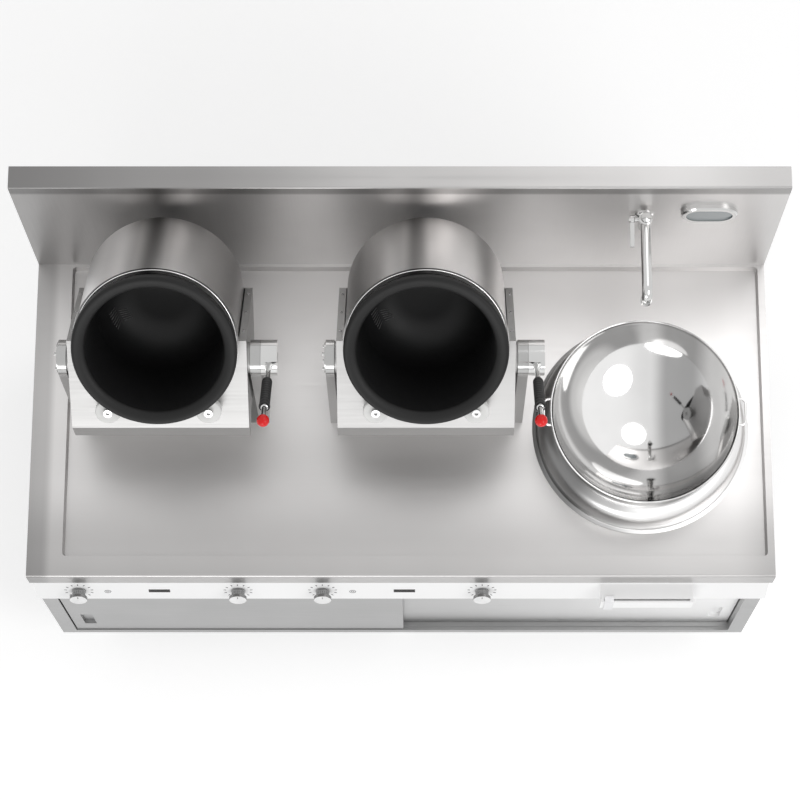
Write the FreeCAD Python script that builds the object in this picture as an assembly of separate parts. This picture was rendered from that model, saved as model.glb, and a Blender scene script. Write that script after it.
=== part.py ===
import FreeCAD, Part
import math
import os

# Wok range with two tilting, turning drums and one induction wok station, in millimetres.
# +X is to the right, +Y to the back, +Z up.  The origin is on the floor under the middle of the whole object.

V = FreeCAD.Vector
x_axis = V(1, 0, 0)
y_axis = V(0, 1, 0)
z_axis = V(0, 0, 1)

# ---- counter and backsplash ----
counter_width = 1800.0
counter_depth = 793.0        # front edge of the counter to the face of the backsplash
counter_height = 800.0       # top of the counter above the floor
counter_sheet = 2.0
lip_height = 66.0            # folded edge of the counter
lip_round = 7.0
well_depth = 20.0            # drip well pressed into the counter
well_beside = 25.0           # left edge of the well beyond the first drum's foot
well_right = 17.0            # margins of the well
well_front = 52.0
well_back = 7.0
well_corner = 9.0
well_slope = 4.0
splash_thick = 54.0
splash_rise = 530.0          # top of the backsplash above the counter
splash_return = 26.0         # folded edge at the back of the backsplash
front_reach = 50.0           # power slide in front of the counter's edge

# ---- cabinet ----
cabinet_inset = 12.0         # cabinet sides inside the ends of the counter
cabinet_front = -8.0         # cabinet front from the counter's edge, minus is forward
cabinet_bottom = 170.0
panel_sheet = 1.5
panel_fold = 20.0            # folded edge of the side and back panels
post_width = 38.0
post_wall = 2.0
back_post = 30.0
rail_height = 30.0
cross_rail_left = 140.0      # outer rails from the ends of the counter
cross_rail_right = 80.0
cross_rail_middle = 300.0    # inner rails from the middle
cross_rail_width = 40.0
leg_radius = 24.0
pad_radius = 27.0
pad_height = 34.0
leg_plate = 5.0
leg_inset_x = 90.0
leg_inset_y = 70.0

# ---- sliding doors ----
door_thick = 16.0
door_gap = 3.0               # between the doors, the posts and the rails
door_overlap = 24.0
door_meeting = -9.0         # middle of the overlap
pull_width = 30.0            # finger pulls pressed into the doors
pull_height = 110.0
pull_deep = 9.0
pull_edge = 28.0             # from the door's outer edge to the pull
pull_low = 70.0              # from the door's foot to the pull
door_sheet = 1.5
track_width = 3.0
track_height = 8.0
slide_fit = 0.3

# ---- control fascia ----
fascia_inset = 8.0
fascia_sheet = 2.0
fascia_drop = 88.0
fascia_run = 20.0            # the bottom edge stands this much further forward than the top
fascia_setback = 0.0
fascia_depth = 60.0
heat_knob_left = (227.0, 251.0)     # knobs to the left and right of each drum
speed_knob_right = (161.0, 137.0)
knob_down = 45.0             # knob centre from the top of the fascia, along its slope
knob_radius = 21.3
knob_neck_radius = 17.0
knob_length = 25.0
knob_gap = 1.0
spindle_radius = 3.0
running_fit = 0.05
switch_size = 26.0
switch_depth = 22.0
display_left = (31.0, 52.0)
display_width = 52.0
display_height = 15.0
display_down = 45.0

# ---- power slide ----
slide_right = 12.0           # middle of the slide from the middle of the wok
slide_width = 220.0
slide_depth = 39.0           # box in front of the counter's edge
slide_top_drop = 3.0         # box top below the underside of the counter
slide_height = 65.0
slide_groove = 4.0
slide_strip = 4.0
slide_end = 6.0
tab_width = 22.0
tab_cover = 14.0
tab_plate = 2.7
tab_hang = 7.0

# ---- drum stations ----
drum_end = 342.0             # first drum from the left end of the counter
station_gap = 24.5           # foot of the second drum to the wok ring
rest_angle = 45.0            # the mouth looks this far up from level at rest
back_room = 12.0             # least room behind the drum as it tilts
tilt_rise = 378.0            # tilt axis above the floor of the well
drum_offset = 72.0           # drum axis from the tilt axis, square to the drum
rim_ahead = 113.0            # rim plane in front of the tilt axis, along the drum
rim_over = 3.0               # rim beyond the casing
rim_flange = 16.0            # thickness of the rim's rolled front
track_step = 13.0            # the track that the rollers run on lies this far inside the rim
rim_skirt = 47.0             # front of the rim to the back of the track
skirt_wall = 5.5
lip_crest = 8.0              # the rolled front of the rim is highest this far inside its edge
mouth_radius = 158.0
pot_wall = 4.0
pot_depth = 296.0
pot_straight = 203.0         # depth at which the wall starts to curve in
pot_floor_radius = 58.0
pot_bend_steps = 4           # straight stretches of the bend from the wall to the floor
rib_count = 3
rib_height = 13.0
rib_width = 12.0
rib_length = 120.0
rib_notches = 6
rib_turn = 137.0             # angle of the first rib round the pot
casing_room = 9.0            # winding to casing
casing_wall = 2.0
casing_back_round = 9.0
casing_length = 287.0        # front of the bezel to the back of the casing
bezel_wide = 20.0
bezel_thick = 4.0
bezel_gap = 2.0
shaft_radius = 12.5
shaft_hole = 20.0
coil_room = 9.0              # pot to winding
coil_thick = 6.0
coil_length = 170.0
coil_flange = 5.0
coil_inset = 34.0            # behind the front of the casing
hub_flange_radius = 55.0
hub_flange_thick = 8.0
gearbox_radius = 60.0
gearbox_length = 34.0
motor_radius = 44.0
motor_length = 56.0

# ---- tilting frame that carries the drum ----
frame_side_room = 20.0       # casing to the frame's sides
frame_under_room = 45.0      # casing to the frame's bottom
frame_high = 68.6
frame_sheet = 3.0
frame_ahead = 49.0           # front plate in front of the tilt axis
strip_width = 17.0
frame_toe = 46.0             # upright apron below the front plate
roller_radius = 29.7
roller_width = 18.0
roller_gap = 0.3
roller_angle = 34.3
roller_stand = 17.0          # roller in front of the frame's plate
roller_bolt = 6.0
trunnion_flange = 36.0
trunnion_flange_thick = 5.0

# ---- pedestal, bearings and tilt lever ----
bearing_gap = 1.0
bearing_radius = 41.5
bearing_width = 24.0
left_bearing_width = 20.0
hub_gap = 0.5
hub_length = 37.5
hub_cavity = 27.0
hub_end = 8.0
index_radius = 24.0
index_bore = 14.0
index_step = 15.0
index_stops = 7
notch_width = 7.0
notch_depth = 5.0
lock_gap = 0.4               # the lock rod's tip rests this far off the sleeve
pedestal_ahead = 50.0        # front of the foot ahead of the tilt axis
pedestal_length = 170.0
pedestal_tail = 40.0         # the foot plate runs on behind the brackets
pedestal_plate = 3.0
bracket_wall = 3.0
lever_radius = 6.0
pull_radius = 3.0
pull_clearance = 0.1
pull_sleeve = 6.0
grip_start = 113.0
grip_length = 120.0
grip_radius = 12.0
grip_grooves = 4
ball_centre = 300.0
ball_radius = 14.25
ball_bands = 10

# ---- wok station ----
wok_end = 316.0              # wok from the right end of the counter
wok_back = 374.0
wok_radius = 224.0
wok_fullness = 21.0          # radius of the round bottom beyond the rim's radius
wok_wall = 1.5
wok_seat = 16.4              # lowest point of the wok above the well
wok_bead = 3.0
wok_bands = 8                # straight bands that the round bottom is drawn in
bowl_bands = 5
ear_wire = 3.0
ear_reach = 17.0
ear_width = 70.0
ear_drop = 9.0
bowl_loose = 3.5             # radius of the bowl beyond the wok's outside
bowl_wall = 5.0
bowl_inset = 64.0            # edge of the bowl's round part inside the wok's rim
bowl_flange = 14.0
wok_lift_gap = 0.3
ring_over = 39.5             # ring beyond the wok's rim
ring_wall = 2.5
ring_crest_in = 51.5         # crest and foot of the ring inside its edge
ring_crest = 80.0
ring_foot_in = 9.5
dish_room = 8.0              # bowl's flange to the hole in the counter
wok_coil_thick = 7.0
wok_coil_gap = 8.0
wok_coil_inner = 30.0
wok_coil_inset = 10.0

# ---- power display on the backsplash ----
lamp_right = 141.0           # middle of the display from the middle of the wok
lamp_rise = 376.0
lamp_width = 133.0
lamp_height = 92.0
lamp_proud = 12.0
lamp_wall = 12.0
lamp_recess = 3.0
lens_thick = 4.0

# ---- faucet ----
faucet_left = 10.0           # swivel axis to the left of the middle of the wok
faucet_rise = 387.0          # axis of the spout above the counter
faucet_stand_off = 25.0      # swivel axis in front of the backsplash
faucet_flange_radius = 22.0
faucet_cup_radius = 16.0
faucet_cup_height = 24.0
faucet_neck_drop = 28.0      # valve and inlet below the axis of the spout
spigot_radius = 7.0
spout_radius = 12.0
spout_wall = 1.5
spout_reach = 186.0
spout_drop = 42.0
lever_side = 29.0            # middle of the lever's hub to the left of the swivel axis
valve_back = 12.0
lever_length = 66.0
inlet_radius = 10.4
inlet_length = 34.0

# ---- inside the cabinet ----
inverter_width = 360.0
inverter_depth = 400.0
inverter_height = 150.0
inverter_foot = 12.0
gland_end = 200.0            # from the left end of the counter
gland_height = 300.0
gland_radius = 18.0
gland_bore = 12.0
gland_length = 30.0

# Levels and planes worked out from the sizes above.
half_width = counter_width / 2
coil_radius = mouth_radius + pot_wall + coil_room
casing_radius = coil_radius + coil_thick + casing_room
rim_radius = casing_radius + rim_over
track_radius = rim_radius - track_step
frame_half = casing_radius + frame_side_room
frame_low = casing_radius - drum_offset + frame_under_room
casing_front = rim_ahead - rim_skirt - bezel_gap
casing_back = casing_front - casing_length
tilt_back = round(counter_depth - back_room - math.hypot(drum_offset + casing_radius, casing_back))
wok_sphere = wok_radius + wok_fullness
bowl_sphere = wok_sphere + wok_wall + bowl_loose
bowl_radius = wok_radius - bowl_inset
dish_hole = bowl_radius + bowl_flange + dish_room
wok_coil_outer = bowl_radius - wok_coil_inset
ring_radius = wok_radius + ring_over
ring_crest_radius = ring_radius - ring_crest_in
ring_foot_radius = ring_radius - ring_foot_in
front_y = front_reach - (front_reach + counter_depth + splash_thick) / 2
splash_y = front_y + counter_depth
back_y = splash_y + splash_thick
under_lip = counter_height - lip_height
well_floor = counter_height - well_depth
splash_top = counter_height + splash_rise
cabinet_half = half_width - cabinet_inset
cabinet_y = front_y + cabinet_front
fascia_bottom = under_lip - fascia_drop
rail_top = fascia_bottom
rail_back = cabinet_y + max(post_width, 2 * (door_gap + door_thick)) + door_gap
floor_level = cabinet_bottom + rail_height
tilt_y = front_y + tilt_back
tilt_z = well_floor + tilt_rise
wok_y = front_y + wok_back
bearing_x = frame_half + trunnion_flange_thick + bearing_gap
foot_left = bearing_x + left_bearing_width
foot_right = bearing_x + bearing_width
hub_x = bearing_x + bearing_width + hub_gap
lever_x = hub_x + hub_length / 2
wok_x = half_width - wok_end
drum_x = (drum_end - half_width, wok_x - ring_radius - station_gap - foot_right)
knob_x = (drum_x[0] - heat_knob_left[0], drum_x[0] + speed_knob_right[0],
          drum_x[1] - heat_knob_left[1], drum_x[1] + speed_knob_right[1])
display_x = (drum_x[0] - display_left[0], drum_x[1] - display_left[1])
slide_x = wok_x + slide_right
lamp_x = wok_x + lamp_right
faucet_x = wok_x - faucet_left
inverter_x = (drum_x[0], drum_x[1], wok_x)
gland_x = gland_end - half_width
cross_rail_x = (cross_rail_left - half_width, -cross_rail_middle,
                cross_rail_middle, half_width - cross_rail_right)
pot_bottom = rim_ahead - pot_depth


def box(x0, x1, y0, y1, z0, z1):
    return Part.makeBox(x1 - x0, y1 - y0, z1 - z0, V(x0, y0, z0))


def rod(radius, start, direction, length):
    return Part.makeCylinder(radius, length, start, direction)


def ring(outer, inner, start, direction, length):
    return rod(outer, start, direction, length).cut(rod(inner, start, direction, length))


def fuse(shapes):
    whole = shapes[0].multiFuse(shapes[1:]) if len(shapes) > 1 else shapes[0]
    return whole.removeSplitter()


def cut(shape, tools):
    return shape.cut(Part.makeCompound(tools)) if tools else shape


def outline(place, start, *steps):
    """Closed face.  A step is a point, or a pair (point on the arc, end point)."""
    edges = []
    here = start
    for step in steps:
        through = step[0] if isinstance(step[0], tuple) else None
        end = step[1] if through else step
        if through:
            edges.append(Part.Arc(place(*here), place(*through), place(*end)).toShape())
        else:
            edges.append(Part.LineSegment(place(*here), place(*end)).toShape())
        here = end
    if (place(*here) - place(*start)).Length > 1e-6:
        edges.append(Part.LineSegment(place(*here), place(*start)).toShape())
    return Part.Face(Part.Wire(edges))


def turned(start, *steps, centre=V(0, 0, 0)):
    """Turns an outline given as (radius, height) about a vertical axis through the centre."""
    face = outline(lambda r, z: V(r, 0, z), start, *steps)
    solid = face.revolve(V(0, 0, 0), z_axis, 360)
    solid.translate(centre)
    return solid


def flat_arc(start, through, end, steps):
    """Points from start to end on the circle through three points, in straight stretches."""
    (ax, ay), (bx, by), (cx, cy) = start, through, end
    d = 2 * (ax * (by - cy) + bx * (cy - ay) + cx * (ay - by))
    a2, b2, c2 = ax * ax + ay * ay, bx * bx + by * by, cx * cx + cy * cy
    mx = (a2 * (by - cy) + b2 * (cy - ay) + c2 * (ay - by)) / d
    my = (a2 * (cx - bx) + b2 * (ax - cx) + c2 * (bx - ax)) / d
    radius = math.hypot(ax - mx, ay - my)
    first = math.atan2(ay - my, ax - mx)
    sweep = math.atan2(cy - my, cx - mx) - first
    middle = math.atan2(by - my, bx - mx) - first
    full = 2 * math.pi
    sweep, middle = sweep % full, middle % full
    if middle > sweep:
        sweep -= full
    turns = [first + sweep * step / steps for step in range(1, steps)]
    return [(mx + radius * math.cos(turn), my + radius * math.sin(turn)) for turn in turns] + [end]


def cap_points(radius, reach, middle_z, steps, grow=0.0):
    """Points on a round bottom, from its lowest point out to the reach."""
    most = math.asin(reach / radius)
    turns = [most * step / steps for step in range(steps + 1)]
    return [((radius + grow) * math.sin(turn), middle_z - (radius + grow) * math.cos(turn)) for turn in turns]


def side_profile(x0, x1, start, *steps):
    """Extrudes an outline given as (y, z) from x0 to x1."""
    face = outline(lambda y, z: V(x0, y, z), start, *steps)
    return face.extrude(V(x1 - x0, 0, 0))


def rounded_rectangle(x0, x1, y0, y1, radius, z):
    bend = radius * (1 - math.sqrt(0.5))
    face = outline(lambda x, y: V(x, y, z), (x0 + radius, y0), (x1 - radius, y0),
                   ((x1 - bend, y0 + bend), (x1, y0 + radius)), (x1, y1 - radius),
                   ((x1 - bend, y1 - bend), (x1 - radius, y1)), (x0 + radius, y1),
                   ((x0 + bend, y1 - bend), (x0, y1 - radius)), (x0, y0 + radius),
                   ((x0 + bend, y0 + bend), (x0 + radius, y0)))
    return face.OuterWire


def stadium(width, height, length, centre, direction=V(0, -1, 0)):
    """Long round-ended bar, its length along the direction and its width along X."""
    radius = height / 2
    reach = width / 2 - radius
    face = outline(lambda x, z: centre + V(x, 0, z), (-reach, -radius), (reach, -radius),
                   ((reach + radius, 0), (reach, radius)), (-reach, radius), ((-reach - radius, 0), (-reach, -radius)))
    return face.extrude(direction * length)


def save(name, shape):
    if not shape.isValid():
        print("not valid:", name)
    shape.exportStep("parts/" + name + ".step")
    print(name, len(shape.Solids), "solids", round(shape.Volume / 1000), "cm3")


# ---------------------------------------------------------------- counter and backsplash

def lip_profile(inset, low):
    """Side outline of the counter with its rounded front edge, drawn in by the sheet."""
    y0 = front_y + inset
    y1 = splash_y - inset
    top = counter_height - inset
    radius = lip_round - inset
    bend = radius * (1 - math.sqrt(0.5))
    return side_profile(-half_width + inset, half_width - inset, (y0, low), (y0, top - radius),
                        ((y0 + bend, top - bend), (y0 + radius, top)), (y1, top), (y1, low))


def well_form(grow, top, low):
    x0 = drum_x[0] - foot_left - well_beside - grow
    x1 = half_width - well_right + grow
    y0 = front_y + well_front - grow
    y1 = splash_y - well_back + grow
    upper = rounded_rectangle(x0, x1, y0, y1, well_corner + grow, top)
    lower = rounded_rectangle(x0 + well_slope, x1 - well_slope, y0 + well_slope, y1 - well_slope,
                              well_corner - well_slope + grow, low)
    return Part.makeLoft([upper, lower], True, True)


def counter_top():
    slab = lip_profile(0, under_lip)
    hollow = lip_profile(counter_sheet, under_lip - 1)
    pan = well_form(counter_sheet, counter_height - counter_sheet, well_floor - counter_sheet)
    slab = slab.cut(well_form(0, counter_height, well_floor)).cut(hollow.cut(pan))
    holes = [rod(dish_hole, V(wok_x, wok_y, under_lip), z_axis, lip_height)]
    for x in drum_x:
        holes.append(rod(30, V(x, tilt_y, under_lip), z_axis, lip_height))
    return cut(slab, holes)


def backsplash():
    bend = 5 * (1 - math.sqrt(0.5))
    shell = side_profile(-half_width, half_width, (splash_y, under_lip), (splash_y, splash_top - 5),
                         ((splash_y + bend, splash_top - bend), (splash_y + 5, splash_top)),
                         (back_y, splash_top), (back_y, under_lip))
    inner = half_width - counter_sheet
    hollow = box(-inner, inner, splash_y + counter_sheet, back_y - counter_sheet,
                 under_lip - 1, splash_top - 5)
    opening = box(-half_width + splash_return, half_width - splash_return, back_y - 2 * counter_sheet, back_y + 1,
                  under_lip - 1, splash_top - splash_return)
    inlet_z = counter_height + faucet_rise - faucet_neck_drop
    faucet_hole = rod(inlet_radius + 1, V(faucet_x, splash_y - 1, inlet_z), y_axis, 8)
    lamp_hole = rod(9, V(lamp_x, splash_y - 1, counter_height + lamp_rise), y_axis, 8)
    return cut(shell, [hollow, opening, faucet_hole, lamp_hole])


# ---------------------------------------------------------------- cabinet

def tube(x0, x1, y0, y1, z0, z1, along):
    """Square tube, open at its ends."""
    inset = [post_wall, post_wall, post_wall]
    inset[along] = -1
    hollow = box(x0 + inset[0], x1 - inset[0], y0 + inset[1], y1 - inset[1], z0 + inset[2], z1 - inset[2])
    return box(x0, x1, y0, y1, z0, z1).cut(hollow)


def door_plane(index):
    """Front face of the front door (0) and of the back door (1)."""
    return cabinet_y + door_gap + index * (door_thick + door_gap)


def cabinet_frame():
    """Tubes of the welded frame with the door tracks, each a solid that meets its neighbours face to face."""
    back = back_y - back_post
    parts = []
    for side in (-1, 1):
        outer = side * cabinet_half
        inner = side * (cabinet_half - post_width)
        x0, x1 = sorted((outer, inner))
        parts.append(tube(x0, x1, cabinet_y, cabinet_y + post_width, cabinet_bottom, rail_top, 2))
        x0, x1 = sorted((outer, side * (cabinet_half - back_post)))
        parts.append(tube(x0, x1, back, back_y, cabinet_bottom, under_lip, 2))
    inner = cabinet_half - post_width
    parts.append(tube(-inner, inner, cabinet_y, rail_back, cabinet_bottom, floor_level, 0))
    parts.append(tube(-inner, inner, cabinet_y, rail_back, rail_top - rail_height, rail_top, 0))
    inner = cabinet_half - back_post
    for low in (cabinet_bottom, under_lip - rail_height):
        parts.append(tube(-inner, inner, back, back_y, low, low + rail_height, 0))
    for x in cross_rail_x:
        x0 = x - cross_rail_width / 2
        x1 = x + cross_rail_width / 2
        post = front_y + fascia_depth
        under_well = well_floor - counter_sheet
        parts.append(tube(x0, x1, rail_back, back, cabinet_bottom, floor_level, 1))
        parts.append(tube(x0, x1, post, back, under_lip - rail_height, under_lip, 1))
        parts.append(tube(x0, x1, post, splash_y - 2 * counter_sheet, under_lip, under_well, 1))
        parts.append(tube(x0, x1, rail_back, post + post_width, rail_top - rail_height, rail_top, 1))
        parts.append(tube(x0, x1, post, post + post_width, rail_top, under_lip - rail_height, 2))
    for index in (0, 1):
        middle = door_plane(index) + door_thick / 2
        run = cabinet_half - post_width
        for low in (floor_level, rail_top - rail_height - track_height):
            parts.append(box(-run, run, middle - track_width / 2, middle + track_width / 2, low, low + track_height))
    return parts


def cabinet_sides():
    y0 = cabinet_y + post_width
    y1 = back_y - back_post
    panels = []
    for side in (-1, 1):
        x0, x1 = sorted((side * cabinet_half, side * (cabinet_half - panel_fold)))
        skin = panel_sheet if side > 0 else 0
        pocket = box(x0 - 1 + (0 if side > 0 else panel_sheet + 1), x1 + 1 - (panel_sheet + 1 if side > 0 else 0),
                     y0 + panel_sheet, y1 - panel_sheet, cabinet_bottom + panel_sheet, under_lip - panel_sheet)
        front_notch = box(x0 - 1, x1 + 1, y0 - 1, front_y + fascia_depth, fascia_bottom, under_lip + 1)
        vents = []
        for row in range(7):
            low = cabinet_bottom + 90 + row * 22
            vents.append(box(x0 - 1, x1 + 1, y1 - 260, y1 - 100, low, low + 8))
        panels.append(cut(box(x0, x1, y0, y1, cabinet_bottom, under_lip), [pocket, front_notch] + vents))
    return Part.makeCompound(panels)


def cabinet_back():
    reach = cabinet_half - back_post
    low = cabinet_bottom + rail_height
    high = under_lip - rail_height
    panel = box(-reach, reach, back_y - panel_fold, back_y, low, high)
    pocket = box(-reach + panel_sheet, reach - panel_sheet, back_y - panel_fold - 1, back_y - panel_sheet,
                 low + panel_sheet, high - panel_sheet)
    tools = [pocket, rod(gland_radius - 4, V(gland_x, back_y - panel_fold, gland_height), y_axis, panel_fold + 1)]
    for x in inverter_x:
        for row in range(8):
            z = low + 90 + row * 24
            tools.append(box(x - 110, x + 110, back_y - panel_fold, back_y + 1, z, z + 9))
    return cut(panel, tools)


def cabinet_floor():
    reach = cabinet_half - panel_fold - 1
    y0 = rail_back
    y1 = back_y - back_post
    shell = box(-reach, reach, y0, y1, floor_level, floor_level + 14)
    pocket = box(-reach + panel_sheet, reach - panel_sheet, y0 + panel_sheet, y1 - panel_sheet,
                 floor_level + panel_sheet, floor_level + 15)
    return shell.cut(pocket)


def levelling_feet():
    feet = []
    plate_low = cabinet_bottom - leg_plate
    for x in (-cabinet_half + leg_inset_x, 0, cabinet_half - leg_inset_x):
        for y in (cabinet_y + leg_inset_y, back_y - leg_inset_y):
            feet.append(turned((0, 0), (pad_radius, 0), (pad_radius, pad_height - 10),
                               (leg_radius - 6, pad_height), (leg_radius - 6, pad_height + 6),
                               (leg_radius, pad_height + 6), (leg_radius, plate_low), (0, plate_low),
                               centre=V(x, y, 0)))
    return Part.makeCompound(feet)


def leg_plates():
    """Cross plates under the cabinet that the legs are screwed to."""
    plates = []
    for x in (-cabinet_half + leg_inset_x, 0, cabinet_half - leg_inset_x):
        for y in (cabinet_y + leg_inset_y, back_y - leg_inset_y):
            plates.append(box(x - 45, x + 45, y - 45, y + 45, cabinet_bottom - leg_plate, cabinet_bottom))
    return plates


# ---------------------------------------------------------------- sliding doors

def door(index):
    """Folded pan with a grooved foot and head that run on the tracks, and a pressed finger pull."""
    inner = cabinet_half - post_width - door_gap
    half_lap = door_overlap / 2
    x0, x1 = (-inner, door_meeting + half_lap) if index == 0 else (door_meeting - half_lap, inner)
    y0 = door_plane(index)
    y1 = y0 + door_thick
    low = floor_level + door_gap
    high = rail_top - rail_height - door_gap
    foot = 22.0
    shell = box(x0, x1, y0, y1, low, high)
    a = x0 + pull_edge if index == 0 else x1 - pull_edge - pull_width
    b = a + pull_width
    c = low + pull_low
    d = c + pull_height
    wall = door_sheet
    cup = box(a - wall, b + wall, y0, y0 + pull_deep + wall, c - wall, d + wall)
    pocket = box(x0 + 12, x1 - 12, y0 + door_sheet, y1 + 1, low + foot, high - foot).cut(cup)
    middle = (y0 + y1) / 2
    half_groove = track_width / 2 + slide_fit
    grooves = [box(x0 - 1, x1 + 1, middle - half_groove, middle + half_groove, low - 1,
                   floor_level + track_height + slide_fit),
               box(x0 - 1, x1 + 1, middle - half_groove, middle + half_groove,
                   rail_top - rail_height - track_height - slide_fit * 4, high + 1)]
    return cut(shell, [pocket, box(a, b, y0 - 1, y0 + pull_deep, c, d)] + grooves)


# ---------------------------------------------------------------- control fascia

slope_length = math.hypot(fascia_run, fascia_drop)
down = V(0, -fascia_run / slope_length, -fascia_drop / slope_length)
outward = V(0, down.z, -down.y)
fascia_top = V(0, front_y + fascia_setback, under_lip)


def on_fascia(x, distance, proud=0.0):
    """A point on the slope: distance from its top edge, and proud of its face."""
    return fascia_top + V(x, 0, 0) + down * distance + outward * proud


def face_block(x0, x1, top, bottom, near, far):
    """Block on the slope, from its distance down and its height off the face."""
    a = on_fascia(x0, top, near)
    b = on_fascia(x0, bottom, near)
    c = on_fascia(x0, bottom, far)
    d = on_fascia(x0, top, far)
    return Part.Face(Part.makePolygon([a, b, c, d, a])).extrude(V(x1 - x0, 0, 0))


def control_fascia():
    reach = half_width - fascia_inset
    top = (fascia_top.y, fascia_top.z)
    nose = (fascia_top.y - fascia_run, fascia_bottom)
    back = front_y + fascia_depth
    shell = side_profile(-reach, reach, top, nose, (back, fascia_bottom), (back, under_lip))
    inner_top = on_fascia(0, 0, -fascia_sheet)
    inner_nose = on_fascia(0, slope_length, -fascia_sheet)
    lean = fascia_run / fascia_drop
    lift = fascia_sheet
    start = inner_nose.y + (fascia_bottom + lift - inner_nose.z) * lean
    finish = inner_top.y + (under_lip + 1 - inner_top.z) * lean
    hollow = side_profile(-reach + fascia_sheet, reach - fascia_sheet, (finish, under_lip + 1),
                          (start, fascia_bottom + lift), (back + 1, fascia_bottom + lift), (back + 1, under_lip + 1))
    holes = []
    for x in knob_x:
        holes.append(rod(5.2, on_fascia(x, knob_down, 1), outward * -1, fascia_sheet + 2))
    for x in display_x:
        half = display_width / 2
        holes.append(face_block(x - half, x + half, display_down - display_height / 2,
                                display_down + display_height / 2, 1, -fascia_sheet - 1))
    return cut(shell, [hollow] + holes)


def rotary_switches():
    """Switch bodies behind the fascia, each with a threaded neck through it and a bore for the spindle."""
    bodies = []
    for x in knob_x:
        block = face_block(x - switch_size / 2, x + switch_size / 2, knob_down - switch_size / 2,
                           knob_down + switch_size / 2, -fascia_sheet, -fascia_sheet - switch_depth)
        neck = rod(5.0, on_fascia(x, knob_down, -fascia_sheet), outward, fascia_sheet + knob_gap / 2)
        bore = rod(spindle_radius + running_fit, on_fascia(x, knob_down, knob_gap), outward * -1, switch_depth)
        bodies.append(fuse([block, neck]).cut(bore))
    return Part.makeCompound(bodies)


def knob(x):
    """Flared knob with a pointer slot across its face and its spindle."""
    n = knob_neck_radius
    r = knob_radius
    body = turned((0, 0), (n, 0), (n + 0.5, knob_length * 0.4), (r, knob_length * 0.66),
                  (r, knob_length - 1.5), (r - 1.5, knob_length), (0, knob_length))
    pointer = box(-0.9, 0.9, 4, r + 1, knob_length - 0.8, knob_length + 1)
    stem = knob_gap + fascia_sheet + 12
    spindle = rod(spindle_radius, V(0, 0, -stem), z_axis, stem + 1)
    whole = fuse([body.cut(pointer), spindle])
    whole.rotate(V(0, 0, 0), x_axis, math.degrees(math.atan2(fascia_drop, fascia_run)))
    whole.translate(on_fascia(x, knob_down, knob_gap))
    return whole


def display_windows():
    modules = []
    for x in display_x:
        half = display_width / 2
        high = display_down - display_height / 2
        low = display_down + display_height / 2
        lens = face_block(x - half + 0.1, x + half - 0.1, high + 0.1, low - 0.1, 0.6, -fascia_sheet)
        board = face_block(x - half - 8, x + half + 8, high - 5, low + 5, -fascia_sheet, -fascia_sheet - 9)
        modules.append(fuse([lens, board]))
    return Part.makeCompound(modules)


# ---------------------------------------------------------------- power slide

slide_top = under_lip - slide_top_drop
slide_bottom = slide_top - slide_height
groove_y = front_y - slide_depth
strip_y = groove_y - slide_groove


def fascia_y(z):
    return fascia_top.y - (under_lip - z) * fascia_run / fascia_drop


def power_slide():
    half = slide_width / 2
    body = side_profile(slide_x - half, slide_x + half, (fascia_y(slide_top), slide_top), (groove_y, slide_top),
                        (groove_y, slide_bottom), (fascia_y(slide_bottom), slide_bottom))
    wall = fascia_sheet
    hollow = side_profile(slide_x - half + wall, slide_x + half - wall,
                          (fascia_y(slide_top - wall) - wall, slide_top - wall), (groove_y + wall, slide_top - wall),
                          (groove_y + wall, slide_bottom + wall),
                          (fascia_y(slide_bottom + wall) - wall, slide_bottom + wall))
    wide = half + 2
    strip = box(slide_x - wide, slide_x + wide, strip_y - slide_strip, strip_y, slide_bottom, slide_top)
    ends = []
    for side in (-1, 1):
        x0, x1 = sorted((slide_x + side * wide, slide_x + side * (half - slide_end)))
        ends.append(box(x0, x1, strip_y, groove_y, slide_bottom, slide_top))
    return fuse([body.cut(hollow), strip] + ends)


def slide_travel_start():
    return slide_x - slide_width / 2 + slide_end + tab_width / 2 + 1


def slide_tab():
    """Saddle that rides over the front strip, with a stem in the groove."""
    x0 = slide_travel_start() - tab_width / 2
    x1 = x0 + tab_width
    front = front_y - front_reach
    top = slide_top + slide_fit
    cover = box(x0, x1, front, groove_y + tab_cover - 8, top, top + tab_plate)
    face = box(x0, x1, front, front + tab_plate, slide_bottom - tab_hang, top + tab_plate)
    stem = box(x0 + 3, x1 - 3, strip_y + slide_fit, groove_y - slide_fit, slide_bottom + 25, top)
    return fuse([cover, face, stem])


# ---------------------------------------------------------------- drum stations
# The pieces of a drum are drawn mouth up, with the tilt axis along X through the origin and the drum's own
# axis at y = drum_offset.  seat() leans them forward and takes them to their station.

drum_axis = V(0, drum_offset, 0)


def seat(shape, x):
    placed = shape.copy()
    placed.rotate(V(0, 0, 0), x_axis, rest_angle)
    placed.translate(V(x, tilt_y, tilt_z))
    return placed


def bend_points(wall_radius, wall_z, floor_z):
    """Points from the pot's wall down to its floor, on a quarter of an ellipse."""
    points = []
    for step in range(pot_bend_steps + 1):
        turn = math.pi / 2 * step / pot_bend_steps
        reach = pot_floor_radius + (wall_radius - pot_floor_radius) * math.cos(turn)
        points.append((reach, wall_z - (wall_z - floor_z) * math.sin(turn)))
    return points


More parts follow.
